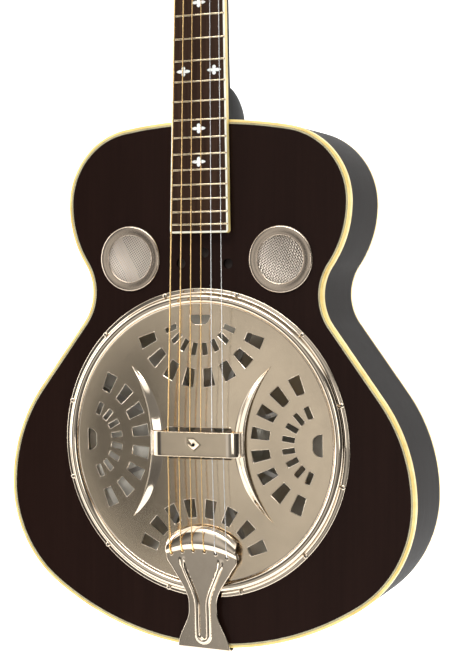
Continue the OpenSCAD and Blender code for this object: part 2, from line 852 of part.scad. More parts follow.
module frets() {
    color("#c9c2b4") neck_frame() for (k = [1:fret_count]) {
        w = half_at(fret_n(k));
        translate([-w, fret_n(k), board_t]) rotate([90, 0, 90]) linear_extrude(2 * w) intersection() {
            circle(fret_crown_r, $fn = 24);
            translate([-5, 0]) square([10, 5]);
        }
        centred_block(w - board_binding_w - 0.3, [fret_n(k) - fret_slot_w / 2, fret_n(k) + fret_slot_w / 2],
            [board_t - fret_slot_d + 0.2, board_t]);
    }
}
module position_markers() {
    color("#eef0ee") neck_frame() translate([0, 0, board_t - marker_t]) linear_extrude(marker_t) markers();
}
module nut() {
    color("#efe7cf") neck_frame() difference() {
        centred_block(nut_half, [nut_n, nut_n + nut_t], [0, board_t + 2.6]);
        for (k = [1:6]) translate([string_x(k, nut_spread), nut_n - cut, board_t + string_rest - 0.02])
            translate([-string_r[k - 1] - 0.05, 0, 0])
                cube([2 * string_r[k - 1] + 0.1, nut_t + 2 * cut, 4]);
    }
}

// ---- Headstock ----

flare_len = 30;
cover_screw_v = 30;
cover_screw_r = 0.9;
function head_half_at(v) = v < flare_len
    ? nut_half + (head_half - nut_half) * smooth(v / flare_len)
    : head_half + (head_tip_half - head_half) * (v - flare_len) / (head_len - 8 - flare_len);
module head_shape() {
    side = [for (v = [each [0:3:flare_len], 60, 100, head_len - 14]) [head_half_at(v), v]];
    tip = [for (a = [10:10:90])
        [head_tip_half * cos(a) + 0.6 * sin(2 * a), head_len - 10 + 10 * sin(a)]];
    polygon(concat(side, tip, mirrored(concat(side, [for (i = [0:len(tip) - 2]) tip[i]]))));
}
// Tuners 1 to 3 rise up the treble side and 6 to 4 up the bass side
function tuner_hand(k) = k < 4 ? 1 : -1;
function tuner_row(k) = k < 4 ? k - 1 : 6 - k;
function tuner_x(k) = 20.5 - tuner_row(k);
function tuner_v(k) = tuner_first + tuner_pitch * tuner_row(k);
module tuner_place(k) {
    head_frame() mirror([tuner_hand(k) < 0 ? 1 : 0, 0, 0])
        translate([tuner_x(k), tuner_v(k), 0]) children();
}
module bushing_bores(r) {
    for (k = [1:6]) translate([tuner_hand(k) * tuner_x(k), tuner_v(k)]) circle(r);
}
module headstock() {
    color("#3c342f") head_frame() difference() {
        slab(-head_t, -veneer_t) head_shape();
        slab(-head_t - cut, cut) bushing_bores(bushing_r);
        centred_block(5, [-cut, 24], [-truss_slot_d - 3, cut]);
        for (k = [1:6])
            translate([tuner_hand(k) * tuner_x(k), tuner_v(k) + housing_v[1] + 3, -head_t - cut])
                cylinder(r = 1.1, h = 6 + cut);
        translate([0, cover_screw_v, -6]) cylinder(r = cover_screw_r, h = 6 + cut);
    }
}
module headstock_veneer() {
    color("#1d1512") head_frame() difference() {
        slab(-veneer_t, 0) head_shape();
        slab(-veneer_t - cut, cut) bushing_bores(bushing_r);
        centred_block(5, [-cut, 24], [-5, cut]);
        translate([0, cover_screw_v, -5]) cylinder(r = cover_screw_r, h = 10);
    }
}
module truss_rod_cover() {
    color("#15110f") head_frame() slab(0, 2) difference() {
        polygon([
            [-12, 3], [12, 3], [10.5, 9], [7.5, 16], [6, 24], [5, 32], [3, 35],
            [-3, 35], [-5, 32], [-6, 24], [-7.5, 16], [-10.5, 9]
        ]);
        translate([0, cover_screw_v]) circle(cover_screw_r);
    }
}
module truss_cover_screws() {
    color("#cfc8bd") head_frame() translate([0, cover_screw_v, 0]) {
        translate([0, 0, -5]) cylinder(r = cover_screw_r, h = 7);
        translate([0, 0, 2]) cylinder(r = 1.8, h = 0.9);
    }
}
module tuner_housings() {
    color("#b9ad9d") for (k = [1:6]) tuner_place(k) difference() {
        union() {
            block([-housing_half, housing_half], housing_v, [-head_t - housing_depth, -head_t]);
            block([-3.5, 3.5], [housing_v[1] - cut, housing_v[1] + lug_len], [-head_t - 1.2, -head_t]);
        }
        block([housing_wall - housing_half, housing_half - housing_wall],
            [housing_v[0] + housing_wall, housing_v[1] - housing_wall],
            [-head_t - housing_depth + housing_wall, -head_t + cut]);
        translate([0, -worm_offset, -head_t - worm_drop]) rotate([0, 90, 0])
            cylinder(r = worm_r + run_gap, h = 20);
        translate([0, housing_v[1] + 3, -head_t - 3]) cylinder(r = 1.1, h = 5);
    }
}
module tuner_bushings() {
    color("#cfc8bd") for (k = [1:6]) tuner_place(k) difference() {
        union() {
            translate([0, 0, -head_t]) cylinder(r = bushing_r, h = head_t);
            cylinder(r = bushing_head_r, h = bushing_h);
        }
        translate([0, 0, -head_t - cut]) cylinder(r = post_r + run_gap, h = head_t + bushing_h + 2 * cut);
    }
}
module tuner_screws() {
    color("#cfc8bd") for (k = [1:6]) tuner_place(k) translate([0, housing_v[1] + 3, 0]) {
        translate([0, 0, -head_t - 1.2]) cylinder(r = 1.1, h = 7);
        translate([0, 0, -head_t - 2.4]) cylinder(r = 2.1, h = 1.2);
    }
}
module gear() {
    for (i = [0:gear_teeth - 1]) rotate(360 * i / gear_teeth) polygon([
        [0, -1.1], [gear_r - 1, -0.9], [gear_r, -0.4], [gear_r, 0.4], [gear_r - 1, 0.9], [0, 1.1]
    ]);
    circle(gear_r - 0.9);
}
module tuner_post(k) {
    gear_h = -head_t - worm_drop;
    color("#cfc8bd") tuner_place(k) difference() {
        union() {
            translate([0, 0, gear_h - 3]) cylinder(r = post_r, h = post_top + head_t + worm_drop + 3);
            translate([0, 0, gear_h - 2]) linear_extrude(4) gear();
            translate([0, 0, winding_h[0]]) cylinder(r = winding_r, h = winding_h[1] - winding_h[0]);
        }
        translate([0, -10, post_top - 1.8]) rotate([-90, 0, 0]) cylinder(r = 0.9, h = 20);
    }
}
module tuner_button(k) {
    end_x = button_gap + button_size[0];
    round_r = button_size[0] / 2;
    color("#cfc8bd") tuner_place(k) translate([0, -worm_offset, -head_t - worm_drop]) {
        translate([-6, 0, 0]) rotate([0, 90, 0]) cylinder(r = worm_r, h = button_gap + 7);
        translate([housing_half + 0.4, 0, 0]) rotate([0, 90, 0]) cylinder(r = 3.2, h = 3);
        translate([button_gap - 3, 0, 0]) rotate([0, 90, 0]) cylinder(r = 3, h = 4);
        translate([0, 0, -button_size[2] / 2]) linear_extrude(button_size[2]) {
            for (side = [-1, 1])
                translate([end_x - round_r, side * (button_size[1] / 2 - round_r)]) circle(round_r);
            translate([button_gap, -button_size[1] / 2 + round_r])
                square([button_size[0], button_size[1] - 2 * round_r]);
        }
    }
}
module tuner_post_1() {
    tuner_post(1);
}
module tuner_post_2() {
    tuner_post(2);
}
module tuner_post_3() {
    tuner_post(3);
}
module tuner_post_4() {
    tuner_post(4);
}
module tuner_post_5() {
    tuner_post(5);
}
module tuner_post_6() {
    tuner_post(6);
}
module tuner_button_1() {
    tuner_button(1);
}
module tuner_button_2() {
    tuner_button(2);
}
module tuner_button_3() {
    tuner_button(3);
}
module tuner_button_4() {
    tuner_button(4);
}
module tuner_button_5() {
    tuner_button(5);
}
module tuner_button_6() {
    tuner_button(6);
}

// ---- Strings ----

// Where the string bends over the hood, seen from the side in the tail frame
function hood_corner(k) =
    let (
        r = hood_r + string_r[k - 1] + 0.1,
        centre = [hood_s, hood_t],
        hole = [hole_at(k)[1], tail_t],
        hole_turn = atan2(centre[1] - hole[1], centre[0] - hole[0]) + asin(r / norm(centre - hole)),
        reach = saddle_local(k) - centre,
        saddle_turn = atan2(reach[1], reach[0]) - asin(r / norm(reach)),
        far = saddle_local(k) - hole,
        run = (far[0] * sin(saddle_turn) - far[1] * cos(saddle_turn))
            / (cos(hole_turn) * sin(saddle_turn) - sin(hole_turn) * cos(saddle_turn))
    )
    hole + run * [cos(hole_turn), sin(hole_turn)];
function saddle_local(k) =
    let (p = [tail_reach + resonator_u, saddle_h + string_r[k - 1] + 0.02 - tail_rise])
    [p[0] * cos(tail_lean) + p[1] * sin(tail_lean), p[1] * cos(tail_lean) - p[0] * sin(tail_lean)];
function string_path(k) =
    let (
        hole = hole_at(k),
        corner = hood_corner(k),
        reach = winding_r + string_r[k - 1] + string_gap
    )
    [
        tail_to_face([hole[0], hole[1], -2.5]),
        tail_to_face([hole[0], hole[1], tail_t]),
        tail_to_face([hole[0], corner[0], corner[1]]),
        [string_x(k, saddle_spread), resonator_u, saddle_h + string_r[k - 1] + 0.02],
        neck_to_face([string_x(k, nut_spread), nut_n + nut_t, board_t + string_rest + string_r[k - 1]]),
        head_to_face([tuner_hand(k) * (tuner_x(k) - reach), tuner_v(k), string_hole_h])
    ];
module string(k) {
    path = string_path(k);
    r = string_r[k - 1];
    color(k > 2 ? "#c9a35c" : "#d9d9d6") face() {
        for (i = [0:len(path) - 2]) rod(path[i], path[i + 1], r);
        for (i = [1:len(path) - 2]) translate(path[i]) sphere(r = r * 1.04, $fn = 24);
        translate(path[0]) rotate([tail_lean, 0, 0]) translate([0, 0, -1.6])
            cylinder(r = ball_end_r, h = 2.4);
    }
}
module string_1() {
    string(1);
}
module string_2() {
    string(2);
}
module string_3() {
    string(3);
}
module string_4() {
    string(4);
}
module string_5() {
    string(5);
}
module string_6() {
    string(6);
}

top();
back();
side_bass();
side_treble();
top_binding();
top_purfling();
back_binding();
neck_block();
tail_block();
top_lining();
back_lining();
top_braces();
back_braces();
soundwell();
cone();
spider();
saddle();
tension_screw();
coverplate();
coverplate_screws();
palm_rest();
screen_ring_bass();
screen_ring_treble();
screen_mesh_bass();
screen_mesh_treble();
tailpiece();
end_pin();
neck();
heel_cap();
truss_rod();
fingerboard();
fingerboard_binding();
frets();
position_markers();
nut();
headstock();
headstock_veneer();
truss_rod_cover();
truss_cover_screws();
tuner_housings();
tuner_bushings();
tuner_screws();
tuner_post_1();
tuner_post_2();
tuner_post_3();
tuner_post_4();
tuner_post_5();
tuner_post_6();
tuner_button_1();
tuner_button_2();
tuner_button_3();
tuner_button_4();
tuner_button_5();
tuner_button_6();
string_1();
string_2();
string_3();
string_4();
string_5();
string_6();
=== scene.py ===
# Resonator guitar: the finished looks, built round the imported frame.
# Lengths below are in millimetres and are turned into metres by the frames' matrices.
import math

import bmesh
import bpy
import numpy as np
from mathutils import Matrix, Vector


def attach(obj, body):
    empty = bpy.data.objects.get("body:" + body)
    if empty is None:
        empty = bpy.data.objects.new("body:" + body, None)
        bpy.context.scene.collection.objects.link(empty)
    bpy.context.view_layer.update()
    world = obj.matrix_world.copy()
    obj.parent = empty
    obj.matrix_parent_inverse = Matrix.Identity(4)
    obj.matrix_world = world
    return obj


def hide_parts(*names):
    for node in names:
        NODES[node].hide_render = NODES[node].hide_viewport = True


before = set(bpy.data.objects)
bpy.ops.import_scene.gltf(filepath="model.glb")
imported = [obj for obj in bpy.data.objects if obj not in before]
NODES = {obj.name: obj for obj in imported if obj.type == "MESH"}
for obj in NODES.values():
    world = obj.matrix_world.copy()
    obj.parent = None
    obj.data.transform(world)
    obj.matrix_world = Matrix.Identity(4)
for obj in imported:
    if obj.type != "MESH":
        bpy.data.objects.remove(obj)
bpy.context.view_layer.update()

# ---- Driving dimensions ----

MM = 0.001
BODY_DEPTH = 86
COVER_Z = 193
TAIL_REACH = 184
NECK_REACH = 288
NECK_RISE = 1.2
NECK_TILT = 1.0
NECK_X = -2.9
NECK_TURN = 0.8
HEAD_ANGLE = 14
TAIL_LEAN = 5.2
TAIL_RISE = 2.1
TAIL_X = 3.2
RESONATOR_U = -1.6
COVER_TURN = 1.2
SADDLE_H = 17
SCALE_LENGTH = 635
COMPENSATION = 6
NUT_N = SCALE_LENGTH + COMPENSATION + RESONATOR_U - NECK_REACH
NUT_T = 5
BOARD_T = 6
FRETS = 21



def moved(x, y, z, turn=0, axis="Z"):
    """A move, with a turn in degrees about an axis through the new place."""
    return Matrix.Translation((x, y, z)) @ Matrix.Rotation(math.radians(turn), 4, axis)


FACE = moved(0, -BODY_DEPTH / 2 * MM, COVER_Z * MM, 90, "X") @ Matrix.Scale(MM, 4)
NECK = FACE @ moved(NECK_X, NECK_REACH, NECK_RISE, NECK_TURN) @ moved(0, 0, 0, -NECK_TILT, "X")
HEAD = NECK @ moved(0, NUT_N + NUT_T, 0, -HEAD_ANGLE, "X")
TAIL = FACE @ moved(TAIL_X, -TAIL_REACH, TAIL_RISE, TAIL_LEAN, "X")
COVER = FACE @ moved(0, RESONATOR_U, 0, COVER_TURN)


# ---- Materials ----


class Nodes:
    """A node tree with a few short helpers."""

    def __init__(self, tree):
        self.tree = tree

    def add(self, kind, **settings):
        node = self.tree.nodes.new(kind)
        for key, value in settings.items():
            if hasattr(node, key):
                setattr(node, key, value)
            else:
                node.inputs[key.replace("_", " ")].default_value = value
        return node

    def link(self, source, target):
        self.tree.links.new(source, target)

    def noise(self, vector, scale, detail=3.0, roughness=0.5):
        node = self.add("ShaderNodeTexNoise", Scale=scale, Detail=detail, Roughness=roughness)
        self.link(vector, node.inputs["Vector"])
        return node.outputs["Fac"]

    def ramp(self, value, *stops):
        node = self.add("ShaderNodeValToRGB")
        elements = node.color_ramp.elements
        while len(elements) < len(stops):
            elements.new(0.5)
        for element, (position, color) in zip(elements, stops):
            element.position = position
            shade = (color, color, color) if isinstance(color, (int, float)) else color
            element.color = (*shade, 1)
        self.link(value, node.inputs["Fac"])
        return node.outputs["Color"]

    def math(self, operation, a, b):
        node = self.add("ShaderNodeMath", operation=operation)
        for socket, value in zip(node.inputs, (a, b)):
            if isinstance(value, (int, float)):
                socket.default_value = value
            else:
                self.link(value, socket)
        return node.outputs["Value"]


class Shader(Nodes):
    """A principled material."""

    def __init__(self, name, color, roughness, metallic=0.0, **sockets):
        self.material = bpy.data.materials.new(name)
        self.material.use_nodes = True
        super().__init__(self.material.node_tree)
        self.bsdf = self.tree.nodes["Principled BSDF"]
        self.bsdf.inputs["Base Color"].default_value = (*color, 1)
        self.bsdf.inputs["Roughness"].default_value = roughness
        self.bsdf.inputs["Metallic"].default_value = metallic
        for socket, value in sockets.items():
            self.bsdf.inputs[socket.replace("_", " ")].default_value = value
        self.place = self.add("ShaderNodeTexCoord").outputs["Object"]

    def stretched(self, *scale):
        node = self.add("ShaderNodeMapping", Scale=scale)
        self.link(self.place, node.inputs["Vector"])
        return node.outputs["Vector"]

    def rough(self, value, low, high):
        node = self.add("ShaderNodeMapRange", To_Min=low, To_Max=high)
        self.link(value, node.inputs["Value"])
        self.link(node.outputs["Result"], self.bsdf.inputs["Roughness"])

    def color(self, value):
        self.link(value, self.bsdf.inputs["Base Color"])

    def bump(self, height, strength, distance):
        node = self.add("ShaderNodeBump", Strength=strength, Distance=distance)
        self.link(height, node.inputs["Height"])
        self.link(node.outputs["Normal"], self.bsdf.inputs["Normal"])


def wood(name, dark, light, low, high, pores=0.15, grain=(260, 260, 9), specular=0.5):
    """Straight-grained wood along the neck, with fine pores under its finish."""
    s = Shader(name, light, high, Specular_IOR_Level=specular)
    streaks = s.noise(s.stretched(*grain), 1.0, 6.0, 0.6)
    broad = s.noise(s.stretched(28, 28, 2.2), 1.0, 3.0)
    mixed = s.math("ADD", s.math("MULTIPLY", streaks, 0.6), s.math("MULTIPLY", broad, 0.4))
    s.color(s.ramp(mixed, (0.3, dark), (0.7, light)))
    s.rough(streaks, low, high)
    fine = s.noise(s.stretched(900, 900, 60), 1.0, 2.0)
    s.bump(fine, pores, 0.0002)
    return s.material


def nickel(name, color, low, high, grain=0.0, tarnish=0.12):
    """Plated metal: cloudy roughness, a trace of warm tarnish and a satin grain where asked."""
    s = Shader(name, color, low, 1.0)
    cloud = s.noise(s.place, 22, 4.0, 0.6)
    dark = [c * (1 - tarnish) for c in color]
    s.color(s.ramp(cloud, (0.32, dark), (0.62, color)))
    wear = s.noise(s.place, 180, 5.0, 0.65)
    s.rough(s.math("MULTIPLY", s.math("ADD", cloud, wear), 0.5), low, high)
    if grain:
        s.bump(s.noise(s.place, 2600, 2.0), grain, 0.0001)
    else:
        s.bump(s.noise(s.place, 60, 2.0), 0.05, 0.0003)
    return s.material


def plastic(name, dark, light, roughness, scale=90, subsurface=0.0):
    """Celluloid or bone: a faint cloud of colour and a hand-scraped surface."""
    s = Shader(name, light, roughness, Subsurface_Weight=subsurface)
    cloud = s.noise(s.place, scale, 4.0, 0.55)
    s.color(s.ramp(cloud, (0.3, dark), (0.7, light)))
    s.rough(s.noise(s.place, 400, 3.0), roughness * 0.8, roughness * 1.3)
    s.bump(s.noise(s.place, 700, 2.0), 0.06, 0.0002)
    return s.material


def pearl(name):
    """Mother of pearl: bands of pink, green and white under a gloss."""
    s = Shader(name, (0.86, 0.87, 0.86), 0.18, Coat_Weight=0.6, Specular_IOR_Level=0.7)
    flow = s.add("ShaderNodeTexNoise", Scale=190.0, Detail=3.0, Distortion=1.6)
    s.link(s.place, flow.inputs["Vector"])
    bands = [
        (0.3, (0.62, 0.66, 0.68)), (0.45, (0.95, 0.93, 0.90)),
        (0.55, (0.80, 0.88, 0.84)), (0.7, (0.93, 0.86, 0.86)),
    ]
    s.color(s.ramp(flow.outputs["Fac"], *bands))
    s.bump(flow.outputs["Fac"], 0.1, 0.0002)
    return s.material


def spun(name, color):
    """Spun aluminium: fine rings round the cone's axis."""
    s = Shader(name, color, 0.3, 1.0)
    offset = s.add("ShaderNodeVectorMath", operation="SUBTRACT")
    s.link(s.place, offset.inputs[0])
    offset.inputs[1].default_value = (0, 0, COVER_Z * MM)
    flat = s.add("ShaderNodeVectorMath", operation="MULTIPLY")
    s.link(offset.outputs["Vector"], flat.inputs[0])
    flat.inputs[1].default_value = (1, 0, 1)
    length = s.add("ShaderNodeVectorMath", operation="LENGTH")
    s.link(flat.outputs["Vector"], length.inputs[0])
    rings = s.math("SINE", s.math("MULTIPLY", length.outputs["Value"], 5200), 0)
    cloud = s.noise(s.place, 40, 4.0)
    s.rough(cloud, 0.22, 0.42)
    s.bump(s.math("ADD", rings, s.math("MULTIPLY", cloud, 0.5)), 0.12, 0.0002)
    return s.material


def cast(name, color):
    """Sand-cast metal: a pebbled skin."""
    s = Shader(name, color, 0.45, 1.0)
    pebble = s.noise(s.place, 900, 4.0, 0.6)
    s.rough(pebble, 0.35, 0.6)
    s.bump(pebble, 0.35, 0.0003)
    return s.material


LACQUER = wood("soundboard lacquer", (0.0105, 0.0048, 0.0035), (0.0150, 0.0070, 0.0051), 0.12, 0.18, 0.02,
               specular=0.06)
SATIN = wood("satin body wood", (0.0095, 0.0078, 0.0066), (0.0175, 0.0145, 0.0124), 0.45, 0.6, 0.4, specular=0.04)
NECK_SATIN = wood("satin neck wood", (0.0065, 0.0059, 0.0045), (0.0125, 0.0112, 0.0088), 0.42, 0.55, 0.2,
                  specular=0.04)
VENEER = wood("headstock lacquer", (0.010, 0.006, 0.005), (0.017, 0.010, 0.008), 0.08, 0.14, 0.02, specular=0.3)
ROSEWOOD = wood("rosewood", (0.014, 0.0068, 0.004), (0.050, 0.0245, 0.0135), 0.42, 0.6, 0.5, (420, 420, 16), 0.08)
RAW_WOOD = wood("raw spruce and mahogany", (0.36, 0.23, 0.12), (0.62, 0.45, 0.27), 0.55, 0.7, 0.4)
MAPLE = wood("maple", (0.50, 0.34, 0.17), (0.72, 0.54, 0.32), 0.35, 0.5, 0.15)
CREAM = plastic("cream binding", (0.72, 0.50, 0.15), (0.90, 0.70, 0.28), 0.22, 60, 0.05)
PLY_LIGHT = plastic("light ply", (0.50, 0.44, 0.24), (0.66, 0.58, 0.36), 0.25)
PLY_DARK = plastic("dark ply", (0.02, 0.016, 0.012), (0.035, 0.028, 0.022), 0.25)
IVORY = plastic("ivory binding", (0.86, 0.81, 0.66), (0.95, 0.92, 0.80), 0.22, 60, 0.05)
BONE = plastic("bone", (0.78, 0.72, 0.58), (0.90, 0.86, 0.74), 0.28, 260, 0.08)
# Real black plastic, and also painted shade: the screw slots and the palm rest's hole.
BLACK_AND_SHADE = plastic("black plastic and painted shade", (0.010, 0.009, 0.008), (0.018, 0.016, 0.014), 0.16, 120)
# Dark discs closing the sound holes from below: painted shade for the guitar's dark inside.
HOLE_SHADE = plastic("painted hole shade", (0.016, 0.009, 0.007), (0.026, 0.015, 0.011), 0.8, 900)
PEARL = pearl("mother of pearl")
NICKEL = nickel("polished nickel", (0.64, 0.54, 0.42), 0.05, 0.12)
SATIN_NICKEL = nickel("satin nickel", (0.65, 0.53, 0.38), 0.17, 0.23, 0.3)
RING_NICKEL = nickel("brushed ring nickel", (0.47, 0.385, 0.30), 0.2, 0.3, 0.2)
WIRE = nickel("screen wire", (0.54, 0.47, 0.40), 0.32, 0.45)
FRET_WIRE = nickel("fret wire", (0.62, 0.52, 0.36), 0.14, 0.24)
STEEL = nickel("steel", (0.62, 0.61, 0.60), 0.2, 0.32)
PLAIN_WIRE = nickel("plain string steel", (0.86, 0.85, 0.83), 0.16, 0.26, tarnish=0.05)
BRONZE = nickel("bronze winding", (0.90, 0.62, 0.28), 0.18, 0.30)
CONE = spun("spun aluminium", (0.62, 0.58, 0.50))
CAST = cast("cast aluminium", (0.45, 0.42, 0.38))


# ---- Mesh helpers ----


def mesh_object(name, verts, faces, place, indices=None, weld=False):
    """A mesh in one of the frames, with its normals outward."""
    world = np.asarray(verts, dtype=float) @ np.array(place.to_3x3()).T + np.array(place.translation)
    mesh = bpy.data.meshes.new(name)
    mesh.from_pydata(world.tolist(), [], faces)
    if indices is not None:
        mesh.polygons.foreach_set("material_index", indices)
    bm = bmesh.new()
    bm.from_mesh(mesh)
    if weld:
        bmesh.ops.remove_doubles(bm, verts=bm.verts, dist=1e-6)
    bmesh.ops.recalc_face_normals(bm, faces=bm.faces)
    bm.to_mesh(mesh)
    bm.free()
    obj = bpy.data.objects.new(name, mesh)
    bpy.context.collection.objects.link(obj)
    return obj


def piece(name, verts, faces, materials, place=FACE, indices=None, body="root", replaces=(), slot=None,
          sharp=35, weld=True):
    """A finished piece: smooth-shaded between its sharp edges, and riding on a body."""
    obj = mesh_object(name, verts, faces, place, indices, weld)
    obj.data.polygons.foreach_set("use_smooth", [True] * len(obj.data.polygons))
    obj.data.set_sharp_from_angle(angle=math.radians(sharp))
    for m in materials:
        obj.data.materials.append(m)
    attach(obj, body)
    if replaces:
        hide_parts(*replaces)
    return obj


def grid(rows, cols, wrap_rows=False, wrap_cols=False):
    faces = []
    for r in range(rows if wrap_rows else rows - 1):
        for c in range(cols if wrap_cols else cols - 1):
            up = (r + 1) % rows
            right = (c + 1) % cols
            faces.append((r * cols + c, r * cols + right, up * cols + right, up * cols + c))
    return faces


def caps(rows, cols):
    """The first and last rows of a grid, as end faces."""
    return [tuple(range(cols)), tuple((rows - 1) * cols + k for k in range(cols))]


class Parts:
    """Collects several shells into one mesh."""

    def __init__(self):
        self.verts = []
        self.faces = []
        self.indices = []

    def add(self, verts, faces, index=0):
        base = len(self.verts)
        self.verts += [tuple(v) for v in verts]
        self.faces += [tuple(base + i for i in f) for f in faces]
        self.indices += [index] * len(faces)

    def place(self, verts, faces, matrix, index=0):
        self.add([matrix @ Vector(v) for v in verts], faces, index)

    def build(self, name, materials, place=FACE, **settings):
        return piece(name, self.verts, self.faces, materials, place, self.indices, weld=False, **settings)


def lathe(profile, segments=96):
    """A profile of (radius, height) turned round the third axis, with closed ends."""
    turn = np.linspace(0, 2 * math.pi, segments, endpoint=False)
    verts = [(r * math.cos(a), r * math.sin(a), h) for r, h in profile for a in turn]
    closed = profile[0][0] > 1e-6 or profile[-1][0] > 1e-6
    return verts, grid(len(profile), segments, wrap_rows=closed, wrap_cols=True)


def curve_arc(cx, cy, r, a0, a1, n):
    return [
        (cx + r * math.cos(math.radians(a)), cy + r * math.sin(math.radians(a)))
        for a in np.linspace(a0, a1, n + 1)
    ]


def tube(path, radii, sides=10, closed=False):
    """A round tube along a path, with one radius or one per point and capped ends."""
    points = [Vector(p) for p in path]
    count = len(points)
    if isinstance(radii, (int, float)):
        radii = [radii] * count
    tangents = []
    for i in range(count):
        before = points[(i - 1) % count] if closed or i else points[0]
        after = points[(i + 1) % count] if closed or i < count - 1 else points[-1]
        tangents.append((after - before).normalized())
    side = tangents[0].orthogonal().normalized()
    verts = []
    for point, tangent, r in zip(points, tangents, radii):
        side = (side - tangent * side.dot(tangent)).normalized()
        other = tangent.cross(side)
        for k in range(sides):
            a = 2 * math.pi * k / sides
            verts.append(point + side * (r * math.cos(a)) + other * (r * math.sin(a)))
    faces = grid(count, sides, wrap_rows=closed, wrap_cols=True)
    if not closed:
        faces.append(tuple(range(sides))[::-1])
        faces.append(tuple((count - 1) * sides + k for k in range(sides)))
    return verts, faces


def smooth_path(points, per_span):
    """Catmull-Rom through the points."""
    p = [Vector(v) for v in points]
    p = [p[0] * 2 - p[1], *p, p[-1] * 2 - p[-2]]
    out = []
    for i in range(1, len(p) - 2):
        for k in range(per_span):
            t = k / per_span
            a, b, c, d = p[i - 1], p[i], p[i + 1], p[i + 2]
            bend = (2 * a - 5 * b + 4 * c - d) * t * t + (3 * b - a - 3 * c + d) * t * t * t
            out.append(0.5 * (2 * b + (c - a) * t + bend))
    out.append(p[-2])
    return out


def rounded(corners, radius, steps=4):
    """A closed polygon with its corners rounded."""
    out = []
    count = len(corners)
    for i in range(count):
        before, here, after = (Vector(corners[(i + k) % count]) for k in (-1, 0, 1))
        to_before, to_after = (before - here), (after - here)
        reach = min(radius, to_before.length * 0.45, to_after.length * 0.45)
        start = here + to_before.normalized() * reach
        end = here + to_after.normalized() * reach
        for k in range(steps + 1):
            t = k / steps
            out.append((start * (1 - t) ** 2 + here * (2 * t * (1 - t)) + end * t * t)[:])
    return out


def prism(loop, h0, h1):
    """A straight prism over a closed loop of (x, y)."""
    n = len(loop)
    verts = [(x, y, h) for h in (h0, h1) for x, y in loop]
    faces = [(i, (i + 1) % n, n + (i + 1) % n, n + i) for i in range(n)]
    return verts, [*faces, tuple(range(n))[::-1], tuple(range(n, 2 * n))]


def plate(loops, h0, h1):
    """A flat plate over an outer loop with hole loops, as (verts, faces)."""
    bm = bmesh.new()
    rings = []
    for loop in loops:
        ring = [bm.verts.new((x, y, 0)) for x, y in loop]
        rings.append(ring)
        for i in range(len(ring)):
            bm.edges.new((ring[i], ring[(i + 1) % len(ring)]))
    bmesh.ops.triangle_fill(bm, use_beauty=True, use_dissolve=False, edges=bm.edges[:])
    bm.verts.index_update()
    n = len(bm.verts)
    flat = [tuple(v.co[:2]) for v in bm.verts]
    fill = [tuple(v.index for v in f.verts) for f in bm.faces]
    walls = []
    for ring in rings:
        ids = [v.index for v in ring]
        walls += [
            (ids[i], ids[(i + 1) % len(ids)], n + ids[(i + 1) % len(ids)], n + ids[i])
            for i in range(len(ids))
        ]
    bm.free()
    verts = [(x, y, h) for h in (h0, h1) for x, y in flat]
    return verts, [*fill, *[tuple(n + i for i in f)[::-1] for f in fill], *walls]


def power(value, exponent):
    """A power that keeps the sign, for squared-off ovals."""
    return math.copysign(abs(value) ** exponent, value)


def circle(cx, cy, r, n):
    return curve_arc(cx, cy, r, 0, 360 * (n - 1) / n, n - 1)


def soften(obj, width, segments=2, angle=30):
    """Rounds a mesh's sharp edges with modifiers."""
    weld = obj.modifiers.new("weld", "WELD")
    weld.merge_threshold = 1e-6
    bevel = obj.modifiers.new("bevel", "BEVEL")
    bevel.width = width * MM
    bevel.segments = segments
    bevel.limit_method = "ANGLE"
    bevel.angle_limit = math.radians(angle)
    bevel.harden_normals = True


def solidify(obj, thickness):
    """Gives a sheet its thickness, inward from the surface."""
    modifier = obj.modifiers.new("sheet", "SOLIDIFY")
    modifier.thickness = thickness * MM
    modifier.offset = -1


def dress(name, material, bevel=0.0, segments=2):
    """Gives a carried-over CAD node its material and, where asked, softened edges."""
    obj = NODES[name]
    obj.data.materials.clear()
    obj.data.materials.append(material)
    obj.data.polygons.foreach_set("material_index", [0] * len(obj.data.polygons))
    if bevel:
        soften(obj, bevel, segments)


# ---- Body ----

LOWER_HALF = 196
WAIST_HALF = 112.4
UPPER_HALF = 137.6
TAIL_R = 262
FLANK_R = 150
SHOULDER_LOW_R = 100
SHOULDER_R = 69
LOWER_U = -47
WAIST_U = 131
UPPER_U = 213
STEPS = 3
SCREEN_X = 73.5
SCREEN_U = 162.5
SOUND_HOLES = ((0, 168.2), (-23, 158.3), (23, 158.3))


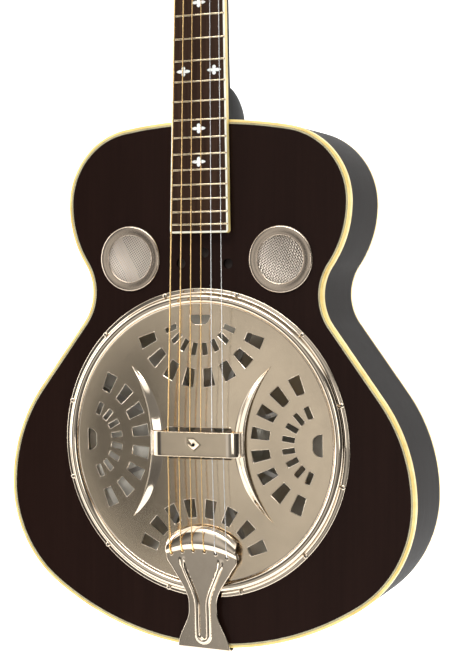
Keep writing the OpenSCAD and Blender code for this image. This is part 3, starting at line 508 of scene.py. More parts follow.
def body_arcs():
    """The half outline's tangent arcs: centre, radius, start and end angle, bend, steps."""
    tail_c = TAIL_R - TAIL_REACH
    lower_r = (TAIL_R**2 - LOWER_HALF**2 - (tail_c - LOWER_U) ** 2) / (2 * (TAIL_R - LOWER_HALF))
    lower_x = LOWER_HALF - lower_r
    flank_x = LOWER_HALF - FLANK_R
    step = UPPER_HALF - WAIST_HALF
    waist_r = (step**2 + (UPPER_U - WAIST_U) ** 2) / (2 * step) - SHOULDER_LOW_R
    waist_x = WAIST_HALF + waist_r
    low_x = UPPER_HALF - SHOULDER_LOW_R
    top_x = UPPER_HALF - SHOULDER_R
    rise = NECK_REACH - UPPER_U
    crown_r = (top_x**2 + rise**2 - SHOULDER_R**2) / (2 * (rise - SHOULDER_R))
    crown_u = NECK_REACH - crown_r
    tail_turn = math.degrees(math.atan2(LOWER_U - tail_c, lower_x))
    gap = math.hypot(waist_x - flank_x, WAIST_U - LOWER_U)
    flank_turn = math.degrees(
        math.atan2(WAIST_U - LOWER_U, waist_x - flank_x) - math.acos((FLANK_R + waist_r) / gap)
    )
    waist_turn = math.degrees(math.atan2(UPPER_U - WAIST_U, low_x - waist_x))
    crown_turn = math.degrees(math.atan2(UPPER_U - crown_u, top_x))
    return [
        (0, tail_c, TAIL_R, -90, tail_turn, 1, 14),
        (lower_x, LOWER_U, lower_r, tail_turn, 0, 1, 18),
        (flank_x, LOWER_U, FLANK_R, 0, flank_turn, 1, 12),
        (waist_x, WAIST_U, waist_r, 180 + flank_turn, waist_turn, -1, 12),
        (low_x, UPPER_U, SHOULDER_LOW_R, waist_turn - 180, 0, 1, 9),
        (top_x, UPPER_U, SHOULDER_R, 0, crown_turn, 1, 18),
        (0, crown_u, crown_r, crown_turn, 90, 1, 6),
    ]


ARCS = body_arcs()
CROWN_R = ARCS[-1][2]


def half_outline(inset):
    points = []
    for cx, cy, r, a0, a1, bend, steps in ARCS:
        for point in curve_arc(cx, cy, r - bend * inset, a0, a1, steps * STEPS):
            if not points or math.dist(point, points[-1]) > 0.01:
                points.append(point)
    return points


def outline(inset):
    half = half_outline(inset)
    return half + [(-x, y) for x, y in half[-2:0:-1]]


def hoop(profile):
    """Sweeps a closed (inset, height) profile round the whole outline."""
    verts = [(x, y, h) for inset, h in profile for x, y in outline(inset)]
    return verts, grid(len(profile), len(verts) // len(profile), wrap_rows=True, wrap_cols=True)


def build_soundboard():
    edge = [outline(4.4), circle(0, RESONATOR_U, 134, 160)]
    edge += [circle(side * SCREEN_X, SCREEN_U, 26, 72) for side in (-1, 1)]
    edge += [circle(x, u, 4.5, 40) for x, u in SOUND_HOLES]
    obj = piece("soundboard", *plate(edge, -4, 0), [LACQUER], replaces=["top"], slot="soundboard_lacquer")
    soften(obj, 0.25, 3, 60)
    # Dark discs under the three sound holes: painted shade, so the holes read dark instead of showing the parts
    # inside.
    shade_discs = Parts()
    disc = lathe([(0, -4.05), (7, -4.05), (7.5, -4.3), (7, -4.6), (0, -4.6)], 48)
    for x, u in SOUND_HOLES:
        shade_discs.place(*disc, moved(x, u, 0))
    shade_discs.build("sound_hole_shade_discs", [HOLE_SHADE], slot="soundboard_lacquer")


def build_sides():
    half = {inset: half_outline(inset) for inset in (0, 3)}
    for name, hand in (("side_bass", -1), ("side_treble", 1)):
        levels = [-6, -24, -44, -62, -81]
        profile = [(0, h) for h in levels] + [(3, h) for h in levels[::-1]]
        verts = [(hand * x, y, h) for inset, h in profile for x, y in half[inset]]
        count = len(half[0])
        faces = grid(len(profile), count, wrap_rows=True)
        faces.append(tuple(r * count for r in range(len(profile))))
        faces.append(tuple(r * count + count - 1 for r in range(len(profile))))
        piece(name + "_shell", verts, faces, [SATIN], replaces=[name], slot="body_satin")


def build_bindings():
    outer = [(2.5, -6), (0, -6), (0, -0.9), (0.3, -0.25), (0.9, 0), (2.5, 0)]
    piece("soundboard_binding", *hoop(outer), [CREAM], replaces=["top_binding"], slot="cream_binding")
    edges = [2.5, 2.75, 3.2, 3.45, 3.9, 4.4]
    plies = Parts()
    for i, (start, end) in enumerate(zip(edges, edges[1:])):
        top = 0.02 if i % 2 else 0
        plies.add(*hoop([(start, -1.8), (start, top), (end, top), (end, -1.8)]), index=i % 2)
    plies.build("soundboard_lines", [PLY_DARK, PLY_LIGHT], replaces=["top_purfling"], slot="line_inlay")
    back = [(1.6, -86), (0.9, -86), (0.25, -85.7), (0, -85.1), (0, -81), (1.6, -81)]
    piece("back_edge_binding", *hoop(back), [CREAM], replaces=["back_binding"], slot="cream_binding")


# ---- Coverplate ----

COVER_R = 138
FACE_R = 123.4
FACE_H = 3.3
DOME = 8.0
FAN_REACH = 114
SLOT_TURNS = (9.5, 28.5, 47.5, 66.5)
OPENING = (32, 14)
RIM_SCREW_R = 136
PALM_H = 22.0
RIDGE_HALF = 68.6
RIDGE_TOP = 13.6
RIDGE_RISE = 4.7
RIDGE_INNER = (119, 85.5)
RIDGE_OUTER = (158, 113)


def face_height(x, y):
    """The coverplate's domed face."""
    r = min(1, math.hypot(x, y) / FACE_R)
    return FACE_H + DOME * (1 - r * r) ** 2


def slot_loops():
    """Every slot of the four fans, as closed loops."""
    moon = [(max(x, -8.7), y) for x, y in curve_arc(0, 0, 10, 90, 270, 18)]
    single = [rounded(moon, 0.8)]
    for turn in SLOT_TURNS:
        for hand in (-1, 1):
            a = math.radians(180 + hand * turn)
            c, s = math.cos(a), math.sin(a)
            for corners in (
                [(25.2, -2.5), (36.5, -2.5), (36.5, 2.5), (25.2, 2.5)],
                [(48, -4.1), (64.6, -5.6), (64.6, 5.6), (48, 4.1)],
            ):
                single.append(rounded([(x * c - y * s, x * s + y * c) for x, y in corners], 0.7))
    loops = []
    for quarter in range(4):
        c, s = round(math.cos(quarter * math.pi / 2)), round(math.sin(quarter * math.pi / 2))
        loops += [[((x + FAN_REACH) * c - y * s, (x + FAN_REACH) * s + y * c) for x, y in loop] for loop in single]
    return loops


def opening_loop():
    x, y = OPENING
    return rounded([(-x, -y), (x, -y), (x, y), (-x, y)], 2.5)


def punch(obj, loops, h0, h1, place):
    """Cuts straight holes with these outlines through a piece."""
    cutters = Parts()
    for loop in loops:
        cutters.add(*prism(loop, h0, h1))
    cutter = mesh_object("cutter", cutters.verts, cutters.faces, place)
    modifier = obj.modifiers.new("cut", "BOOLEAN")
    modifier.object = cutter
    modifier.solver = "EXACT"
    bpy.context.view_layer.update()
    graph = bpy.context.evaluated_depsgraph_get()
    mesh = bpy.data.meshes.new_from_object(obj.evaluated_get(graph))
    obj.modifiers.clear()
    old = obj.data
    obj.data = mesh
    mesh.name = old.name
    bpy.data.meshes.remove(old)
    bpy.data.objects.remove(cutter)


def build_cover_face():
    radii = [0.01, *np.linspace(6, FACE_R, 26)]
    turn = np.linspace(0, 2 * math.pi, 144, endpoint=False)
    verts = []
    for drop in (0, 1.0):
        ring = radii if drop == 0 else radii[::-1]
        verts += [
            (r * math.cos(a), r * math.sin(a), face_height(r, 0) - drop) for r in ring for a in turn
        ]
    obj = piece("coverplate_face", verts, grid(2 * len(radii), len(turn), True, True), [SATIN_NICKEL], COVER,
                replaces=["coverplate"], slot="satin_nickel")
    punch(obj, [*slot_loops(), opening_loop()], -2, 16, COVER)
    obj.data.set_sharp_from_angle(angle=math.radians(30))


def widened(loop, amount):
    """The loop moved outwards by an amount."""
    n = len(loop)
    turn = sum(loop[i][0] * loop[(i + 1) % n][1] - loop[(i + 1) % n][0] * loop[i][1] for i in range(n))
    side = 1 if turn > 0 else -1
    out = []
    for i in range(n):
        (ax, ay), (bx, by) = loop[i - 1], loop[(i + 1) % n]
        size = math.hypot(bx - ax, by - ay)
        out.append((loop[i][0] + side * amount * (by - ay) / size, loop[i][1] - side * amount * (bx - ax) / size))
    return out


def build_cover_lips():
    """The punched edges: each rolls over from the face into its slot."""
    lips = Parts()
    for loop in [*slot_loops(), opening_loop()]:
        path = [(x, y, face_height(x, y) - 0.55) for x, y in widened(loop, 0.3)]
        lips.add(*tube(path, 0.6, 10, closed=True))
    lips.build("slot_edges", [NICKEL], COVER, slot="satin_nickel")


def build_cover_rim():
    bead = curve_arc(128.8, 1.9, 4.5, 162, 8, 20)
    under = curve_arc(128.8, 1.9, 3.5, 20, 150, 10)
    profile = [
        (FACE_R - 1.5, FACE_H - 0.1), (FACE_R + 0.4, FACE_H - 0.25), *bead, (133.8, 1.75), (134.6, 1.35),
        (135.4, 1.2), (137.2, 1.2), (137.8, 0.95), (COVER_R, 0.5), (COVER_R, 0), (133, 0), *under,
        (FACE_R - 1.5, FACE_H - 1.0),
    ]
    piece("coverplate_rim", *lathe(profile, 288), [NICKEL], COVER, slot="satin_nickel", sharp=50)


def build_crescents():
    """The two long ridges beside the palm rest, which rise outwards and then drop."""
    rows = 100
    section = [
        (0, 0), (0.06, 0.03), (0.2, 0.17), (0.4, 0.41), (0.6, 0.66), (0.76, 0.85), (0.84, 0.94), (0.9, 0.985),
        (0.95, 1), (0.985, 0.95), (1, 0.82), (1.02, 0.5), (1.04, 0.15), (1.05, -0.1),
    ]
    for name, hand in (("ridge_treble", 1), ("ridge_bass", -1)):
        verts = []
        for i in range(rows):
            u = RIDGE_HALF * math.sin(math.pi * (i / (rows - 1) - 0.5))
            inner, outer = (x - math.sqrt(r * r - u * u) for x, r in (RIDGE_INNER, RIDGE_OUTER))
            outer = max(outer, inner + 0.2)
            base = face_height(outer, u)
            top = min(RIDGE_RISE, RIDGE_TOP - base) * max(0.0, 1 - (u / RIDGE_HALF) ** 2) ** 0.6
            for t, lift in section:
                x = inner + (outer - inner) * t
                verts.append((hand * x, u, face_height(x, u) - 0.1 + (top + 0.1) * lift))
            verts += [(hand * (outer + 0.3), u, 3.0), (hand * inner, u, 3.0)]
        count = len(section) + 2
        faces = grid(rows, count, wrap_cols=True) + caps(rows, count)
        piece(name, verts, faces, [NICKEL], COVER, slot="satin_nickel", sharp=60)


def screw_head(parts, x, y, h, radius, dome, slot_turn, matrix=Matrix.Identity(4)):
    """A domed head with a cross slot, open side up; the slot is a black bar set into the dome, painted shade for
    the cut slot.
    """
    profile = [(0, h + dome), *[
        (radius * math.sin(a), h + dome * math.cos(a)) for a in np.linspace(0.15, math.pi / 2, 8)
    ], (radius, h - 0.4), (0, h - 0.4)]
    verts, faces = lathe(profile, 28)
    parts.place(verts, faces, matrix @ moved(x, y, 0))
    for turn in (slot_turn, slot_turn + 90):
        c, s = math.cos(math.radians(turn)), math.sin(math.radians(turn))
        w, reach = radius * 0.11, radius * 0.55
        corners = ((-reach, -w), (reach, -w), (reach, w), (-reach, w))
        loop = [(x + c * a - s * b, y + s * a + c * b) for a, b in corners]
        verts, faces = prism(loop, h + dome * 0.6, h + dome * 1.03)
        parts.place(verts, faces, matrix, 1)


def build_cover_screws():
    heads = Parts()
    for k in range(12):
        a = math.radians(15 + 30 * k)
        screw_head(heads, RIM_SCREW_R * math.cos(a), RIM_SCREW_R * math.sin(a), 1.2, 2.3, 1.3, 37 * k)
    heads.build("rim_screws", [NICKEL, BLACK_AND_SHADE], COVER, replaces=["coverplate_screws"], slot="bright_nickel")


def build_palm_rest():
    """A bent strap over the saddle, with narrow feet on the two ridges."""
    bend = [
        (31 + 12 * math.cos(a), 13.6 + 8.4 * math.sin(a)) for a in np.linspace(math.radians(12), math.pi / 2, 22)
    ]
    path = [(44.9, 14.8), (43.9, 14.8), (43.3, 14.85), *bend, *[(x, PALM_H) for x in (29, 24, 16, 8, 0)]]
    bent = 2 + len(bend)
    path += [(-x, h) for x, h in path[-2::-1]]
    cols = [-11, -10.9, -10.6, -10.1, -7, 0, 7, 10.1, 10.6, 10.9, 11]
    drop = [0.7, 0.36, 0.1, 0, 0, 0, 0, 0, 0.1, 0.36, 0.7]
    verts = []
    for i, (x, h) in enumerate(path):
        before, after = path[max(i - 1, 0)], path[min(i + 1, len(path) - 1)]
        tx, th = after[0] - before[0], after[1] - before[1]
        size = math.hypot(tx, th)
        nx, nh = th / size, -tx / size
        verts += [(x - nx * d, u, h - nh * d) for u, d in zip(cols, drop)]
    rows = len(path)
    faces = grid(rows, len(cols))
    curved = [int(i < bent or i > rows - 2 - bent) for i in np.repeat(range(rows - 1), len(cols) - 1)]
    strap = piece("palm_rest_strap", verts, faces, [SATIN_NICKEL, NICKEL], COVER, indices=curved,
                  replaces=["palm_rest"], slot="satin_nickel", sharp=60)
    solidify(strap, 1.4)
    punch(strap, [circle(0, 0, 1.5, 32)], 12, 30, COVER)
    # A black disc sits down in the strap's centre hole as painted shade, so the hole reads as a dark dot.
    piece("palm_rest_hole_shade", *lathe([(0, 21.6), (1.4, 21.6), (1.45, 21.5), (1.45, 20.9), (0, 20.9)], 32), [BLACK_AND_SHADE],
          COVER, slot="satin_nickel")


def build_screens():
    profile = [
        (21.4, 0.8), (21.3, 1.5), (21.7, 1.9), (22.3, 2.0), (23.2, 1.9), (24.2, 2.2), (26.5, 2.5),
        (28.2, 2.45), (29.2, 2.1), (29.8, 1.4), (30, 0.6), (30, 0), (26, 0), (26, -6), (24.6, -6), (24.6, 0.8),
    ]
    pitch, wire, reach = 1.9, 0.5, 24.2
    turn = moved(0, 0, 0, 33)
    for hand, side in ((-1, "bass"), (1, "treble")):
        place = FACE @ moved(hand * SCREEN_X, SCREEN_U, 0)
        piece("screen_rim_" + side, *lathe(profile, 144), [RING_NICKEL], place, replaces=["screen_ring_" + side],
              slot="bright_nickel", sharp=40)
        weave = Parts()
        count = int(reach / pitch)
        for axis in (0, 1):
            for i in range(-count, count + 1):
                offset = i * pitch
                half = math.sqrt(reach**2 - offset**2)
                if half < 2 * pitch:
                    continue
                stops = np.arange(-math.floor(half / pitch), math.floor(half / pitch) + 0.5, 0.5)
                path = []
                for k in stops:
                    wave = math.cos(math.pi * k) * (-1) ** (i + axis) * wire * 0.5
                    across, along = offset, k * pitch
                    path.append((across, along, 0.3 + wave) if axis else (along, across, 0.3 + wave))
                weave.place(*tube(path, wire, 6), turn)
        weave.build("screen_weave_" + side, [WIRE], place, replaces=["screen_mesh_" + side], slot="mesh_wire")


# ---- Tailpiece and end pin ----


HOOD_HALF = 34
HOOD_R = 16
HOOD_CENTRE = -12.3
HOOD_TURNS = (118, 36)
RIB_BOW = 11.8
RIB_BOW_R = 5.2
RIB_W = 2.4


def ease(t):
    t = max(0.0, min(1.0, t))
    return t * t * (3 - 2 * t)


def tail_half(s):
    return 25 - 11.5 * ease(s / 34) if s < 40 else 13.5 + 20.5 * ease((s - 40) / 46)


def rib_half(s):
    return RIB_BOW_R + 13.5 * ease((s - 38) / 44)


def rib_height(x, s):
    """Height of the U-shaped rib over the tailpiece's plate."""
    away = abs(abs(x) - rib_half(s)) if s > RIB_BOW else abs(math.hypot(x, s - RIB_BOW) - RIB_BOW_R)
    fade = ease((84 - s) / 12)
    return 2.3 * fade * math.sqrt(max(0.0, 1 - (away / RIB_W) ** 2))


def string_x(k, spread):
    return spread / 2 - (k - 1) * spread / 5


def hole_at(k):
    x = string_x(k, 54)
    return 1.4 - TAIL_X + x, 87.8 - 4.3 * (x / 27) ** 2


def hood_point(x, turn):
    """The hood's outer surface; the turn runs from 0 at the strings' foot to 1 at the far edge."""
    q = x / HOOD_HALF
    foot = 89.5 - 6.6 * q * q
    far = 109.9 - 11.5 * q * q - 1.8 * q**8
    first, last = (math.radians(a) for a in HOOD_TURNS)
    a = first + (last - first) * turn
    span = (math.cos(a) - math.cos(first)) / (math.cos(last) - math.cos(first))
    low = 1.2 * q * q * turn
    return x, foot + (far - foot) * span, HOOD_CENTRE + HOOD_R * math.sin(a) - low


def build_tailpiece():
    rows, cols = 190, 91
    verts = []
    for i in range(rows):
        s = 90 * i / (rows - 1)
        for k in range(cols):
            q = -1 + 2 * k / (cols - 1)
            x = q * tail_half(s)
            edge = max(0.0, abs(x) - tail_half(s) + 1.0)
            end = 6.6 * q * q * ease((s - 70) / 20)
            verts.append((x, s - end, 1.6 + rib_height(x, s) - 0.5 * edge * edge))
    plate_obj = piece("tailpiece_plate", verts, grid(rows, cols), [NICKEL], TAIL, replaces=["tailpiece"],
                      slot="bright_nickel", sharp=60)
    solidify(plate_obj, 1.2)
    ovals = []
    lips = Parts()
    for k in range(1, 7):
        x, s = hole_at(k)
        oval = [(a, s + 0.5 + (b - s) * 1.5) for a, b in circle(x, s, 1.45, 32)]
        ovals.append(oval)
        lips.add(*tube([(*p, 1.45) for p in widened(oval, 0.2)], 0.38, 8, closed=True))
    punch(plate_obj, ovals, -4, 8, TAIL)
    lips.build("tailpiece_hole_rims", [NICKEL], TAIL, slot="bright_nickel")

    # Arched hood that the strings bend over
    rows, cols = 70, 30
    verts = [
        hood_point(HOOD_HALF * (-1 + 2 * i / (rows - 1)), k / (cols - 1)) for i in range(rows) for k in range(cols)
    ]
    hood = piece("tailpiece_hood", verts, grid(rows, cols), [NICKEL], TAIL, slot="bright_nickel", sharp=60)
    solidify(hood, 1.3)

    # Strap over the tail, held by the end pin
    cols = 40
    verts = []
    path = [(0.6, 3.0), (-0.5, 2.7), (-1.2, 1.9), (-1.6, 0.6), (-1.6, -2), *[(-1.6, -h) for h in range(4, 59, 2)]]
    for u, h in path:
        fall = -h
        half = 25 - 13 * ease((fall - 4) / 26) if fall < 43 else math.sqrt(max(0.02, 14**2 - (fall - 43) ** 2))
        if 30 <= fall < 43:
            half = max(12, math.sqrt(max(0, 14**2 - (43 - fall) ** 2)))
        middle = TAIL_X * (1 - ease((fall - 4) / 30))
        for k in range(cols):
            q = -1 + 2 * k / (cols - 1)
            verts.append((middle + q * half, u - TAIL_REACH, h))
    strap = piece("tailpiece_strap", verts, grid(len(path), cols), [NICKEL], slot="bright_nickel", sharp=60)
    solidify(strap, 1.3)


def build_end_pin():
    profile = [
        (0, 0), (4.6, 0), (5.7, 0.25), (6.3, 0.8), (6.5, 1.5), (6.3, 2.3), (5.6, 3.0), (4.6, 3.9), (4.2, 4.8),
        (4.2, 5.4), (4.8, 6.2), (6.6, 6.9), (7, 7.2), (7, 7.4), (3.5, 7.4), (3.5, 28), (0, 28),
    ]
    piece("end_button", *lathe(profile, 64), [NICKEL], Matrix.Scale(MM, 4), replaces=["end_pin"],
          slot="bright_nickel", sharp=50)


# ---- Neck ----

HEEL_LEN = 28
HEEL_D = 74
SHAFT_HEEL_D = 19
SHAFT_D = 14.5
NUT_HALF = 21.2
BOARD_HALF = 28.4
OVERHANG = 102.5


def fret_n(k):
    return NUT_N - SCALE_LENGTH * (1 - 2 ** (-k / 12))


def half_at(n):
    return NUT_HALF + (BOARD_HALF - NUT_HALF) * (NUT_N - n) / (NUT_N + OVERHANG)


def neck_depth(n):
    shaft = SHAFT_D + (SHAFT_HEEL_D - SHAFT_D) * (NUT_N - n) / NUT_N
    if n >= HEEL_LEN:
        return shaft + 1.6 * math.exp(-(n - HEEL_LEN) / 7)
    return SHAFT_HEEL_D + 1.3 + (HEEL_D - SHAFT_HEEL_D - 1.3) * math.sqrt(1 - (max(0, n) / HEEL_LEN) ** 2)


def build_neck():
    heel = [HEEL_LEN * math.sin(a) for a in np.linspace(0, math.pi / 2, 40)]
    shaft = list(np.linspace(HEEL_LEN + 1, 60, 16)) + list(np.linspace(66, NUT_N - 2, 30))
    stops = heel + shaft
    cols = 49
    verts = []
    for n in stops:
        w, d = half_at(n), neck_depth(n)
        for i in range(cols):
            a = math.pi * i / (cols - 1)
            x = w * power(math.cos(a), 0.8)
            g = max(-70.0, -d * max(0.0, math.sin(a)) ** 0.85)
            settle = (CROWN_R - math.sqrt(CROWN_R**2 - x * x)) * max(0, 1 - n / 12)
            verts.append((x, n - settle, g))
    # The shaft swells into the headstock's back behind the nut
    for t in np.linspace(0, 1, 12):
        n = NUT_N - 2 + t * 7.4
        w = half_at(min(n, NUT_N))
        for i in range(cols):
            a = math.pi * i / (cols - 1)
            x = w * power(math.cos(a), 0.8 - 0.45 * t)
            depth = SHAFT_D + 0.1 * t
            g = -depth * max(0.0, math.sin(a)) ** (0.85 - 0.45 * t)
            lean = -g * math.tan(math.radians(HEAD_ANGLE)) * t
            verts.append((x, n - lean, g))
    rows = len(stops) + 12
    faces = grid(rows, cols, wrap_cols=True) + caps(rows, cols)
    piece("neck_shaft", verts, faces, [NECK_SATIN], NECK, replaces=["neck"], slot="neck_satin", sharp=50)
    # Wedge that carries the fingerboard over the soundboard
    end = -OVERHANG + 3
    lift = OVERHANG * math.sin(math.radians(NECK_TILT))
    wedge = []
    for u, w, top in ((1, half_at(0) - 1.2, NECK_RISE), (end, half_at(-OVERHANG) - 1.2, NECK_RISE + lift)):
        wedge += [(-w, u, 0), (w, u, 0), (w, u, top), (-w, u, top)]
    faces = [(0, 1, 2, 3), (4, 7, 6, 5), (0, 4, 5, 1), (1, 5, 6, 2), (2, 6, 7, 3), (3, 7, 4, 0)]
    place = FACE @ moved(NECK_X, NECK_REACH, 0, NECK_TURN)
    soften(piece("neck_wedge", wedge, faces, [VENEER], place, slot="neck_satin"), 0.2)


def build_frets():
    """Crowned wire with rounded ends, each with its tang in the slot."""
    frets = Parts()
    for k in range(1, FRETS + 1):
        n, w = fret_n(k), half_at(fret_n(k)) - 0.1
        ends = [(0.0, 0.15), (0.12, 0.5), (0.4, 0.82), (0.9, 1.0)]
        stops = [(-w + d, g) for d, g in ends] + [(w - d, g) for d, g in ends[::-1]]
        verts = []
        for x, grow in stops:
            for a in np.linspace(0, math.pi, 13):
                verts.append((x, n + 0.95 * grow * math.cos(a), BOARD_T + 1.08 * grow * math.sin(a) ** 0.85))
            verts += [(x, n - 0.95 * grow, BOARD_T - 0.05), (x, n + 0.95 * grow, BOARD_T - 0.05)]
        frets.add(verts, grid(len(stops), 15, wrap_cols=True) + caps(len(stops), 15))
        tang = [(-w + 2, n - 0.28), (w - 2, n - 0.28), (w - 2, n + 0.28), (-w + 2, n + 0.28)]
        frets.add(*prism(tang, BOARD_T - 1.7, BOARD_T))
    frets.build("fret_wires", [FRET_WIRE], NECK, replaces=["frets"], slot="fret_wire", sharp=60)


def build_board_binding():
    """A strip round the board's sides and end: pale on top, deeper yellow on its outer side and underside."""
    w = half_at(-OVERHANG)
    corner = [(w - 2.6 + 2.6 * math.sin(a), -OVERHANG + 2.6 - 2.6 * math.cos(a)) for a in np.linspace(0, 1.5, 9)]
    half = [(x, -OVERHANG) for x in (0, w * 0.4, w * 0.8)] + corner
    half += [(half_at(n), n) for n in np.linspace(-OVERHANG + 8, NUT_N, 24)]
    path = [(-x, n) for x, n in half[::-1]] + half[1:]
    profile = [(1.7, 0.2), (0, 0.2), (0, 5.5), (0.14, 5.85), (0.45, 6.0), (1.7, 6.0)]
    verts = []
    for i, (x, n) in enumerate(path):
        (ax, an), (bx, bn) = path[max(i - 1, 0)], path[min(i + 1, len(path) - 1)]
        size = math.hypot(bx - ax, bn - an)
        inward = (-(bn - an) / size, (bx - ax) / size)
        verts += [(x + inward[0] * d, n + inward[1] * d, g) for d, g in profile]
    count = len(profile)
    faces = grid(len(path), count, wrap_cols=True)
    sides = [1, 1, *[0] * (count - 2)] * (len(path) - 1) + [0, 0]
    faces += caps(len(path), count)
    piece("board_binding", verts, faces, [IVORY, CREAM], NECK, indices=sides, replaces=["fingerboard_binding"],
          slot="ivory_binding", sharp=50)


def build_heel_cap():
    deep = HEEL_LEN * math.sqrt(1 - ((70.4 - SHAFT_HEEL_D) / (HEEL_D - SHAFT_HEEL_D)) ** 2)
    loop = []
    for t in np.linspace(-1, 1, 41):
        a = t * math.pi / 2
        loop.append((10.6 * math.sin(a), deep * math.cos(a) ** 0.8 if abs(t) < 1 else 0))
    cap = piece("heel_plate", *prism(loop, -72, -70), [IVORY], NECK, replaces=["heel_cap"], slot="cream_binding")
    soften(cap, 0.5, 3)


# ---- Strings ----

STRING_R = [0.2, 0.23, 0.33, 0.45, 0.56, 0.68]
STRING_LOOK_R = [0.36, 0.38, 0.45, 0.55, 0.66, 0.78]
TUNER_FIRST = 45
TUNER_PITCH = 38
WORM_DROP = 7.9
WORM_DEPTH = 19
GEAR_TEETH = 14


def tuner_spot(k):
    """Side, x and v of tuner k in the head frame."""
    hand = 1 if k < 4 else -1
    row = k - 1 if k < 4 else 6 - k
    return hand, hand * (20.5 - row), TUNER_FIRST + TUNER_PITCH * row


def to_face(place, point):
    return FACE.inverted() @ (place @ Vector(point))


def string_stops(k):
    """The string's bends in the face frame, from its hole to the post."""
    r = STRING_R[k - 1]
    x, s = hole_at(k)
    hand, post_x, post_v = tuner_spot(k)
    over = [to_face(TAIL, (x, s, -2.5)), to_face(TAIL, (x, s + 0.1, 1.4))]
    for turn in (0.12, 0.25, 0.36, 0.44):
        spot = Vector(hood_point(x, turn))
        over.append(to_face(TAIL, spot + Vector((0, -0.4 * (1 - turn), 1)) * (r * 1.1)))
    saddle = Vector((string_x(k, 53), RESONATOR_U, SADDLE_H + r))
    nut = to_face(NECK, (string_x(k, 36), NUT_N + NUT_T, BOARD_T + 1.7 + r))
    post = to_face(HEAD, (post_x - hand * (4 + r + 0.2), post_v, 5))
    return over, saddle, nut, post


def dense(a, b, step):
    count = max(2, int((b - a).length / step))
    return [a.lerp(b, i / count) for i in range(count)]


def build_strings():
    for k in range(1, 7):
        r = STRING_LOOK_R[k - 1]
        over, saddle, nut, post = string_stops(k)
        wound = k > 2
        step = 0.42 if wound else 12.0
        path = smooth_path(over, 10)[:-1]
        if wound:
            path = [p for a, b in zip(path, path[1:]) for p in dense(a, b, step)]
        corners = [over[-1], saddle, nut, post]
        for a, b in zip(corners, corners[1:]):
            path += dense(a, b, step)
        path.append(post)
        radii = [r * (1.0 if i % 2 else 0.84) for i in range(len(path))] if wound else r
        parts = Parts()
        parts.add(*tube(path, radii, 8 if wound else 10))
        ball = lathe([(0, -1.1), (1.6, -1.1), (1.9, -0.7), (1.9, 0.7), (1.6, 1.1), (0, 1.1)], 24)
        parts.place(*ball, moved(*over[0], 90, "Y"))
        parts.build(f"string_wire_{k}", [BRONZE if wound else PLAIN_WIRE], replaces=[f"string_{k}"],
                    slot="wound_string" if wound else "plain_string", sharp=70)


# ---- Tuners ----


def build_posts():
    for k in range(1, 7):
        _, x, v = tuner_spot(k)
        profile = [
            (0, -22), (3, -22), (3, 3.0), (3, 3.4), (2.75, 3.9), (2.6, 5), (2.75, 6.2), (3, 6.8), (3, 9.3),
            (2.7, 9.8), (2.2, 10), (0, 10),
        ]
        post = Parts()
        post.add(*lathe(profile, 40))
        gear = []
        for tooth in range(GEAR_TEETH):
            for turn, r in ((-0.32, 4.5), (-0.14, 5.4), (0.14, 5.4), (0.32, 4.5)):
                a = 2 * math.pi * (tooth + turn) / GEAR_TEETH
                gear.append((r * math.cos(a), r * math.sin(a)))
        post.add(*prism(gear, -21, -17), index=1)
        r = STRING_R[k - 1]
        for turn in range(4 if r < 0.4 else 3):
            h = 4.2 + turn * max(2 * r, 0.6)
            ring = [(*p, h) for p in circle(0, 0, 2.75 + r, 40)]
            post.add(*tube(ring, r, 8, closed=True), index=2)
        wire = BRONZE if k > 2 else PLAIN_WIRE
        post.build(f"post_{k}", [NICKEL, BRONZE, wire], HEAD @ moved(x, v, 0), body=f"tuner_post_{k}",
                   replaces=[f"tuner_post_{k}"], slot="bright_nickel", sharp=45)


def button_shape():
    """A plump oval key, flat-sided, with its stem along +X from the worm."""
    rows, cols = 24, 40
    verts = []
    for i in range(rows):
        t = i / (rows - 1)
        x = 19 + 14 * t
        swell = math.sin(math.pi * min(1, 0.10 + 0.90 * t) ** 0.75) ** 0.55 if 0 < t < 1 else 0
        wide = max(1.2, 9.4 * swell)
        thick = max(1.0, 3.2 * swell ** 0.5)
        for k in range(cols):
            a = 2 * math.pi * k / cols
            verts.append((x, wide * power(math.cos(a), 0.85), thick * power(math.sin(a), 0.7)))
    faces = grid(rows, cols, wrap_cols=True)
    faces.append(tuple(range(cols))[::-1])
    faces.append(tuple((rows - 1) * cols + k for k in range(cols)))
    return verts, faces


def build_buttons():
    for k in range(1, 7):
        hand, x, v = tuner_spot(k)
        place = HEAD @ moved(x, v - WORM_DROP, -WORM_DEPTH) @ Matrix.Scale(hand, 4, (1, 0, 0))
        key = Parts()
        key.add(*button_shape())
        stem = [
            (0, -6), (2, -6), (2, 8.4), (3.0, 8.4), (3.2, 8.8), (3.2, 11), (3.0, 11.4), (2, 11.4), (2, 15.8),
            (2.6, 16), (3, 16.5), (3, 19), (2.6, 20), (0, 20),
        ]
        verts, faces = lathe(stem, 36)
        key.add([(h, a, b) for a, b, h in verts], faces)
        for i in range(7):
            ring = [(-4.6 + i * 1.3, a, b) for a, b in circle(0, 0, 1.85, 24)]
            key.add(*tube(ring, 0.25, 6, closed=True))
        key.build(f"button_{k}", [NICKEL], place, body=f"tuner_button_{k}", replaces=[f"tuner_button_{k}"],
                  slot="bright_nickel", sharp=45)


def build_bushings():
    profile = [
        (3.08, -14.9), (3.08, 2.1), (3.5, 2.4), (4.6, 2.3), (5.6, 1.7), (6.1, 0.8), (6.2, 0), (5, 0), (5, -14.9),
    ]
    rings = Parts()
    screws = Parts()
    for k in range(1, 7):
        _, x, v = tuner_spot(k)
        rings.place(*lathe(profile, 48), moved(x, v, 0))
        screw_head(screws, 0, 0, 0, 2.1, 1.1, 25 * k, moved(x, v + 10.5, -16.2, 180, "X"))
    rings.build("bushing_rings", [NICKEL], HEAD, replaces=["tuner_bushings"], slot="bright_nickel", sharp=45)
    screws.build("housing_screws", [NICKEL, BLACK_AND_SHADE], HEAD, replaces=["tuner_screws"], slot="bright_nickel")


# ---- Assembly ----

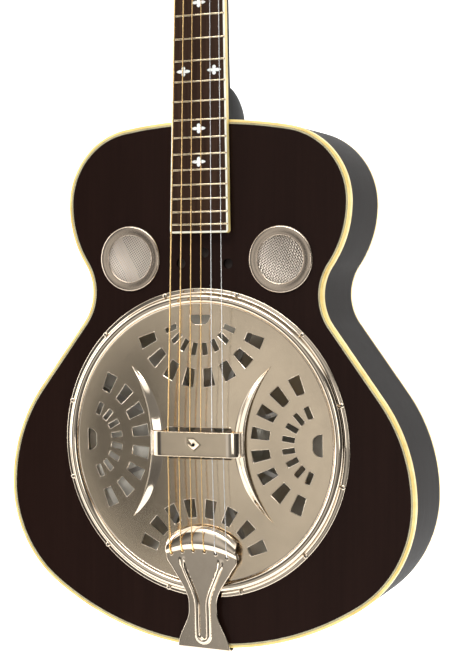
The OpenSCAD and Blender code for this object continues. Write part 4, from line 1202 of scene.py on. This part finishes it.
build_soundboard()
build_sides()
build_bindings()
build_cover_face()
build_cover_lips()
build_cover_rim()
build_crescents()
build_cover_screws()
build_palm_rest()
build_screens()
build_tailpiece()
build_end_pin()
build_neck()
build_frets()
build_board_binding()
build_heel_cap()
build_strings()
build_posts()
build_buttons()
build_bushings()

dress("back", SATIN)
for name in ("neck_block", "tail_block", "top_lining", "back_lining", "top_braces", "back_braces", "soundwell"):
    dress(name, RAW_WOOD)
dress("cone", CONE)
dress("spider", CAST, 0.4)
dress("saddle", MAPLE, 0.4)
dress("tension_screw", STEEL, 0.2)
dress("truss_rod", STEEL)
dress("fingerboard", ROSEWOOD)
dress("position_markers", PEARL)
dress("nut", BONE, 0.3)
dress("headstock", NECK_SATIN, 0.8, 3)
dress("headstock_veneer", VENEER, 0.3)
dress("truss_rod_cover", BLACK_AND_SHADE, 0.4)
dress("truss_cover_screws", NICKEL, 0.2)
dress("tuner_housings", NICKEL, 0.8, 3)


# ---- Stage, light and camera ----


def build_stage():
    """A pale floor under the hanging guitar, which curves up into a backdrop."""
    profile = [(-0.6, 0), (1.2, 0), *curve_arc(1.2, 1.6, 1.6, -90, 0, 24), (2.8, 5.0)]
    half = 5.0
    verts = [(x, y, z - 0.35) for y, z in profile for x in (-half, half)]
    mesh = bpy.data.meshes.new("studio_floor")
    mesh.from_pydata(verts, [], grid(len(profile), 2))
    mesh.polygons.foreach_set("use_smooth", [True] * len(mesh.polygons))
    floor = bpy.data.objects.new("studio_floor", mesh)
    bpy.context.collection.objects.link(floor)
    s = Shader("pale floor", (0.9, 0.9, 0.9), 0.7)
    s.bsdf.inputs["Emission Color"].default_value = (1, 1, 1, 1)
    s.bsdf.inputs["Emission Strength"].default_value = 0.75
    mesh.materials.append(s.material)


def area_light(name, place, target, size, power):
    data = bpy.data.lights.new(name, "AREA")
    data.shape = "RECTANGLE"
    data.size, data.size_y = size
    data.energy = power
    obj = bpy.data.objects.new(name, data)
    obj.location = place
    obj.rotation_euler = (Vector(target) - Vector(place)).to_track_quat("-Z", "Y").to_euler()
    bpy.context.collection.objects.link(obj)


def build_lights():
    """Soft white studio, darker to the front left, with strips for the plated parts."""
    world = bpy.data.worlds.new("studio")
    bpy.context.scene.world = world
    world.use_nodes = True
    nodes = Nodes(world.node_tree)
    split = nodes.add("ShaderNodeSeparateXYZ")
    nodes.link(nodes.add("ShaderNodeTexCoord").outputs["Generated"], split.inputs["Vector"])
    # Round the room from the back, by the left, the front and the right, to the back again
    around = nodes.math("ARCTAN2", split.outputs["X"], nodes.math("MULTIPLY", split.outputs["Y"], -1))
    fraction = nodes.math("ADD", nodes.math("DIVIDE", around, 2 * math.pi), 0.5)
    room = [(-180, 0.9), (-58, 0.9), (-52, 0.06), (-40, 0.05), (-31, 0.09), (-22, 0.36), (-12, 0.42), (-5, 0.28),
            (2, 0.14), (30, 0.12), (50, 0.03), (84, 0.03), (96, 0.8), (180, 0.9)]
    walls = nodes.ramp(fraction, *[(0.5 + degrees / 360, shade) for degrees, shade in room])
    height = nodes.math("ADD", nodes.math("MULTIPLY", split.outputs["Z"], 0.5), 0.5)
    ceiling = nodes.ramp(height, (0.5, 0.0), (0.76, 0.0), (0.8, 0.9), (0.87, 0.9), (0.91, 0.25), (1.0, 0.25))
    low = nodes.ramp(height, (0.0, 0.5), (0.3, 0.7), (0.4, 1.0), (1.0, 1.0))
    background = world.node_tree.nodes["Background"]
    nodes.link(nodes.math("MAXIMUM", nodes.math("MULTIPLY", walls, low), ceiling), background.inputs["Color"])
    background.inputs["Strength"].default_value = 2.3
    middle = (0, 0, 0.3)
    area_light("left strip", (-2.2, -0.5, 0.7), middle, (0.35, 1.8), 12)
    area_light("overhead strip", (-0.1, -1.5, 2.0), middle, (1.8, 0.4), 30)
    area_light("front softbox", (0.82, -2.04, 0.3), (0, 0, 0.2), (0.65, 0.7), 4.5)


def build_camera():
    """The studio viewpoint: from the treble side, level with the screens."""
    yaw, pitch, roll = (math.radians(a) for a in (22.34, 1.26, 0.26))
    forward = Vector((-math.sin(yaw) * math.cos(pitch), math.cos(yaw) * math.cos(pitch), math.sin(pitch)))
    level = Vector((math.cos(yaw), math.sin(yaw), 0))
    upright = level.cross(forward)
    right = level * math.cos(roll) + upright * math.sin(roll)
    up = right.cross(forward)
    data = bpy.data.cameras.new("camera")
    data.sensor_width = 36
    data.lens = 79.4
    data.shift_y = -0.145
    camera = bpy.data.objects.new("camera", data)
    basis = Matrix((right, up, -forward)).transposed()
    camera.matrix_world = Matrix.Translation((0.5231, -1.2467, 0.3482)) @ basis.to_4x4()
    bpy.context.collection.objects.link(camera)
    bpy.context.scene.camera = camera


build_stage()
build_lights()
build_camera()
bpy.context.scene.view_settings.view_transform = "Standard"
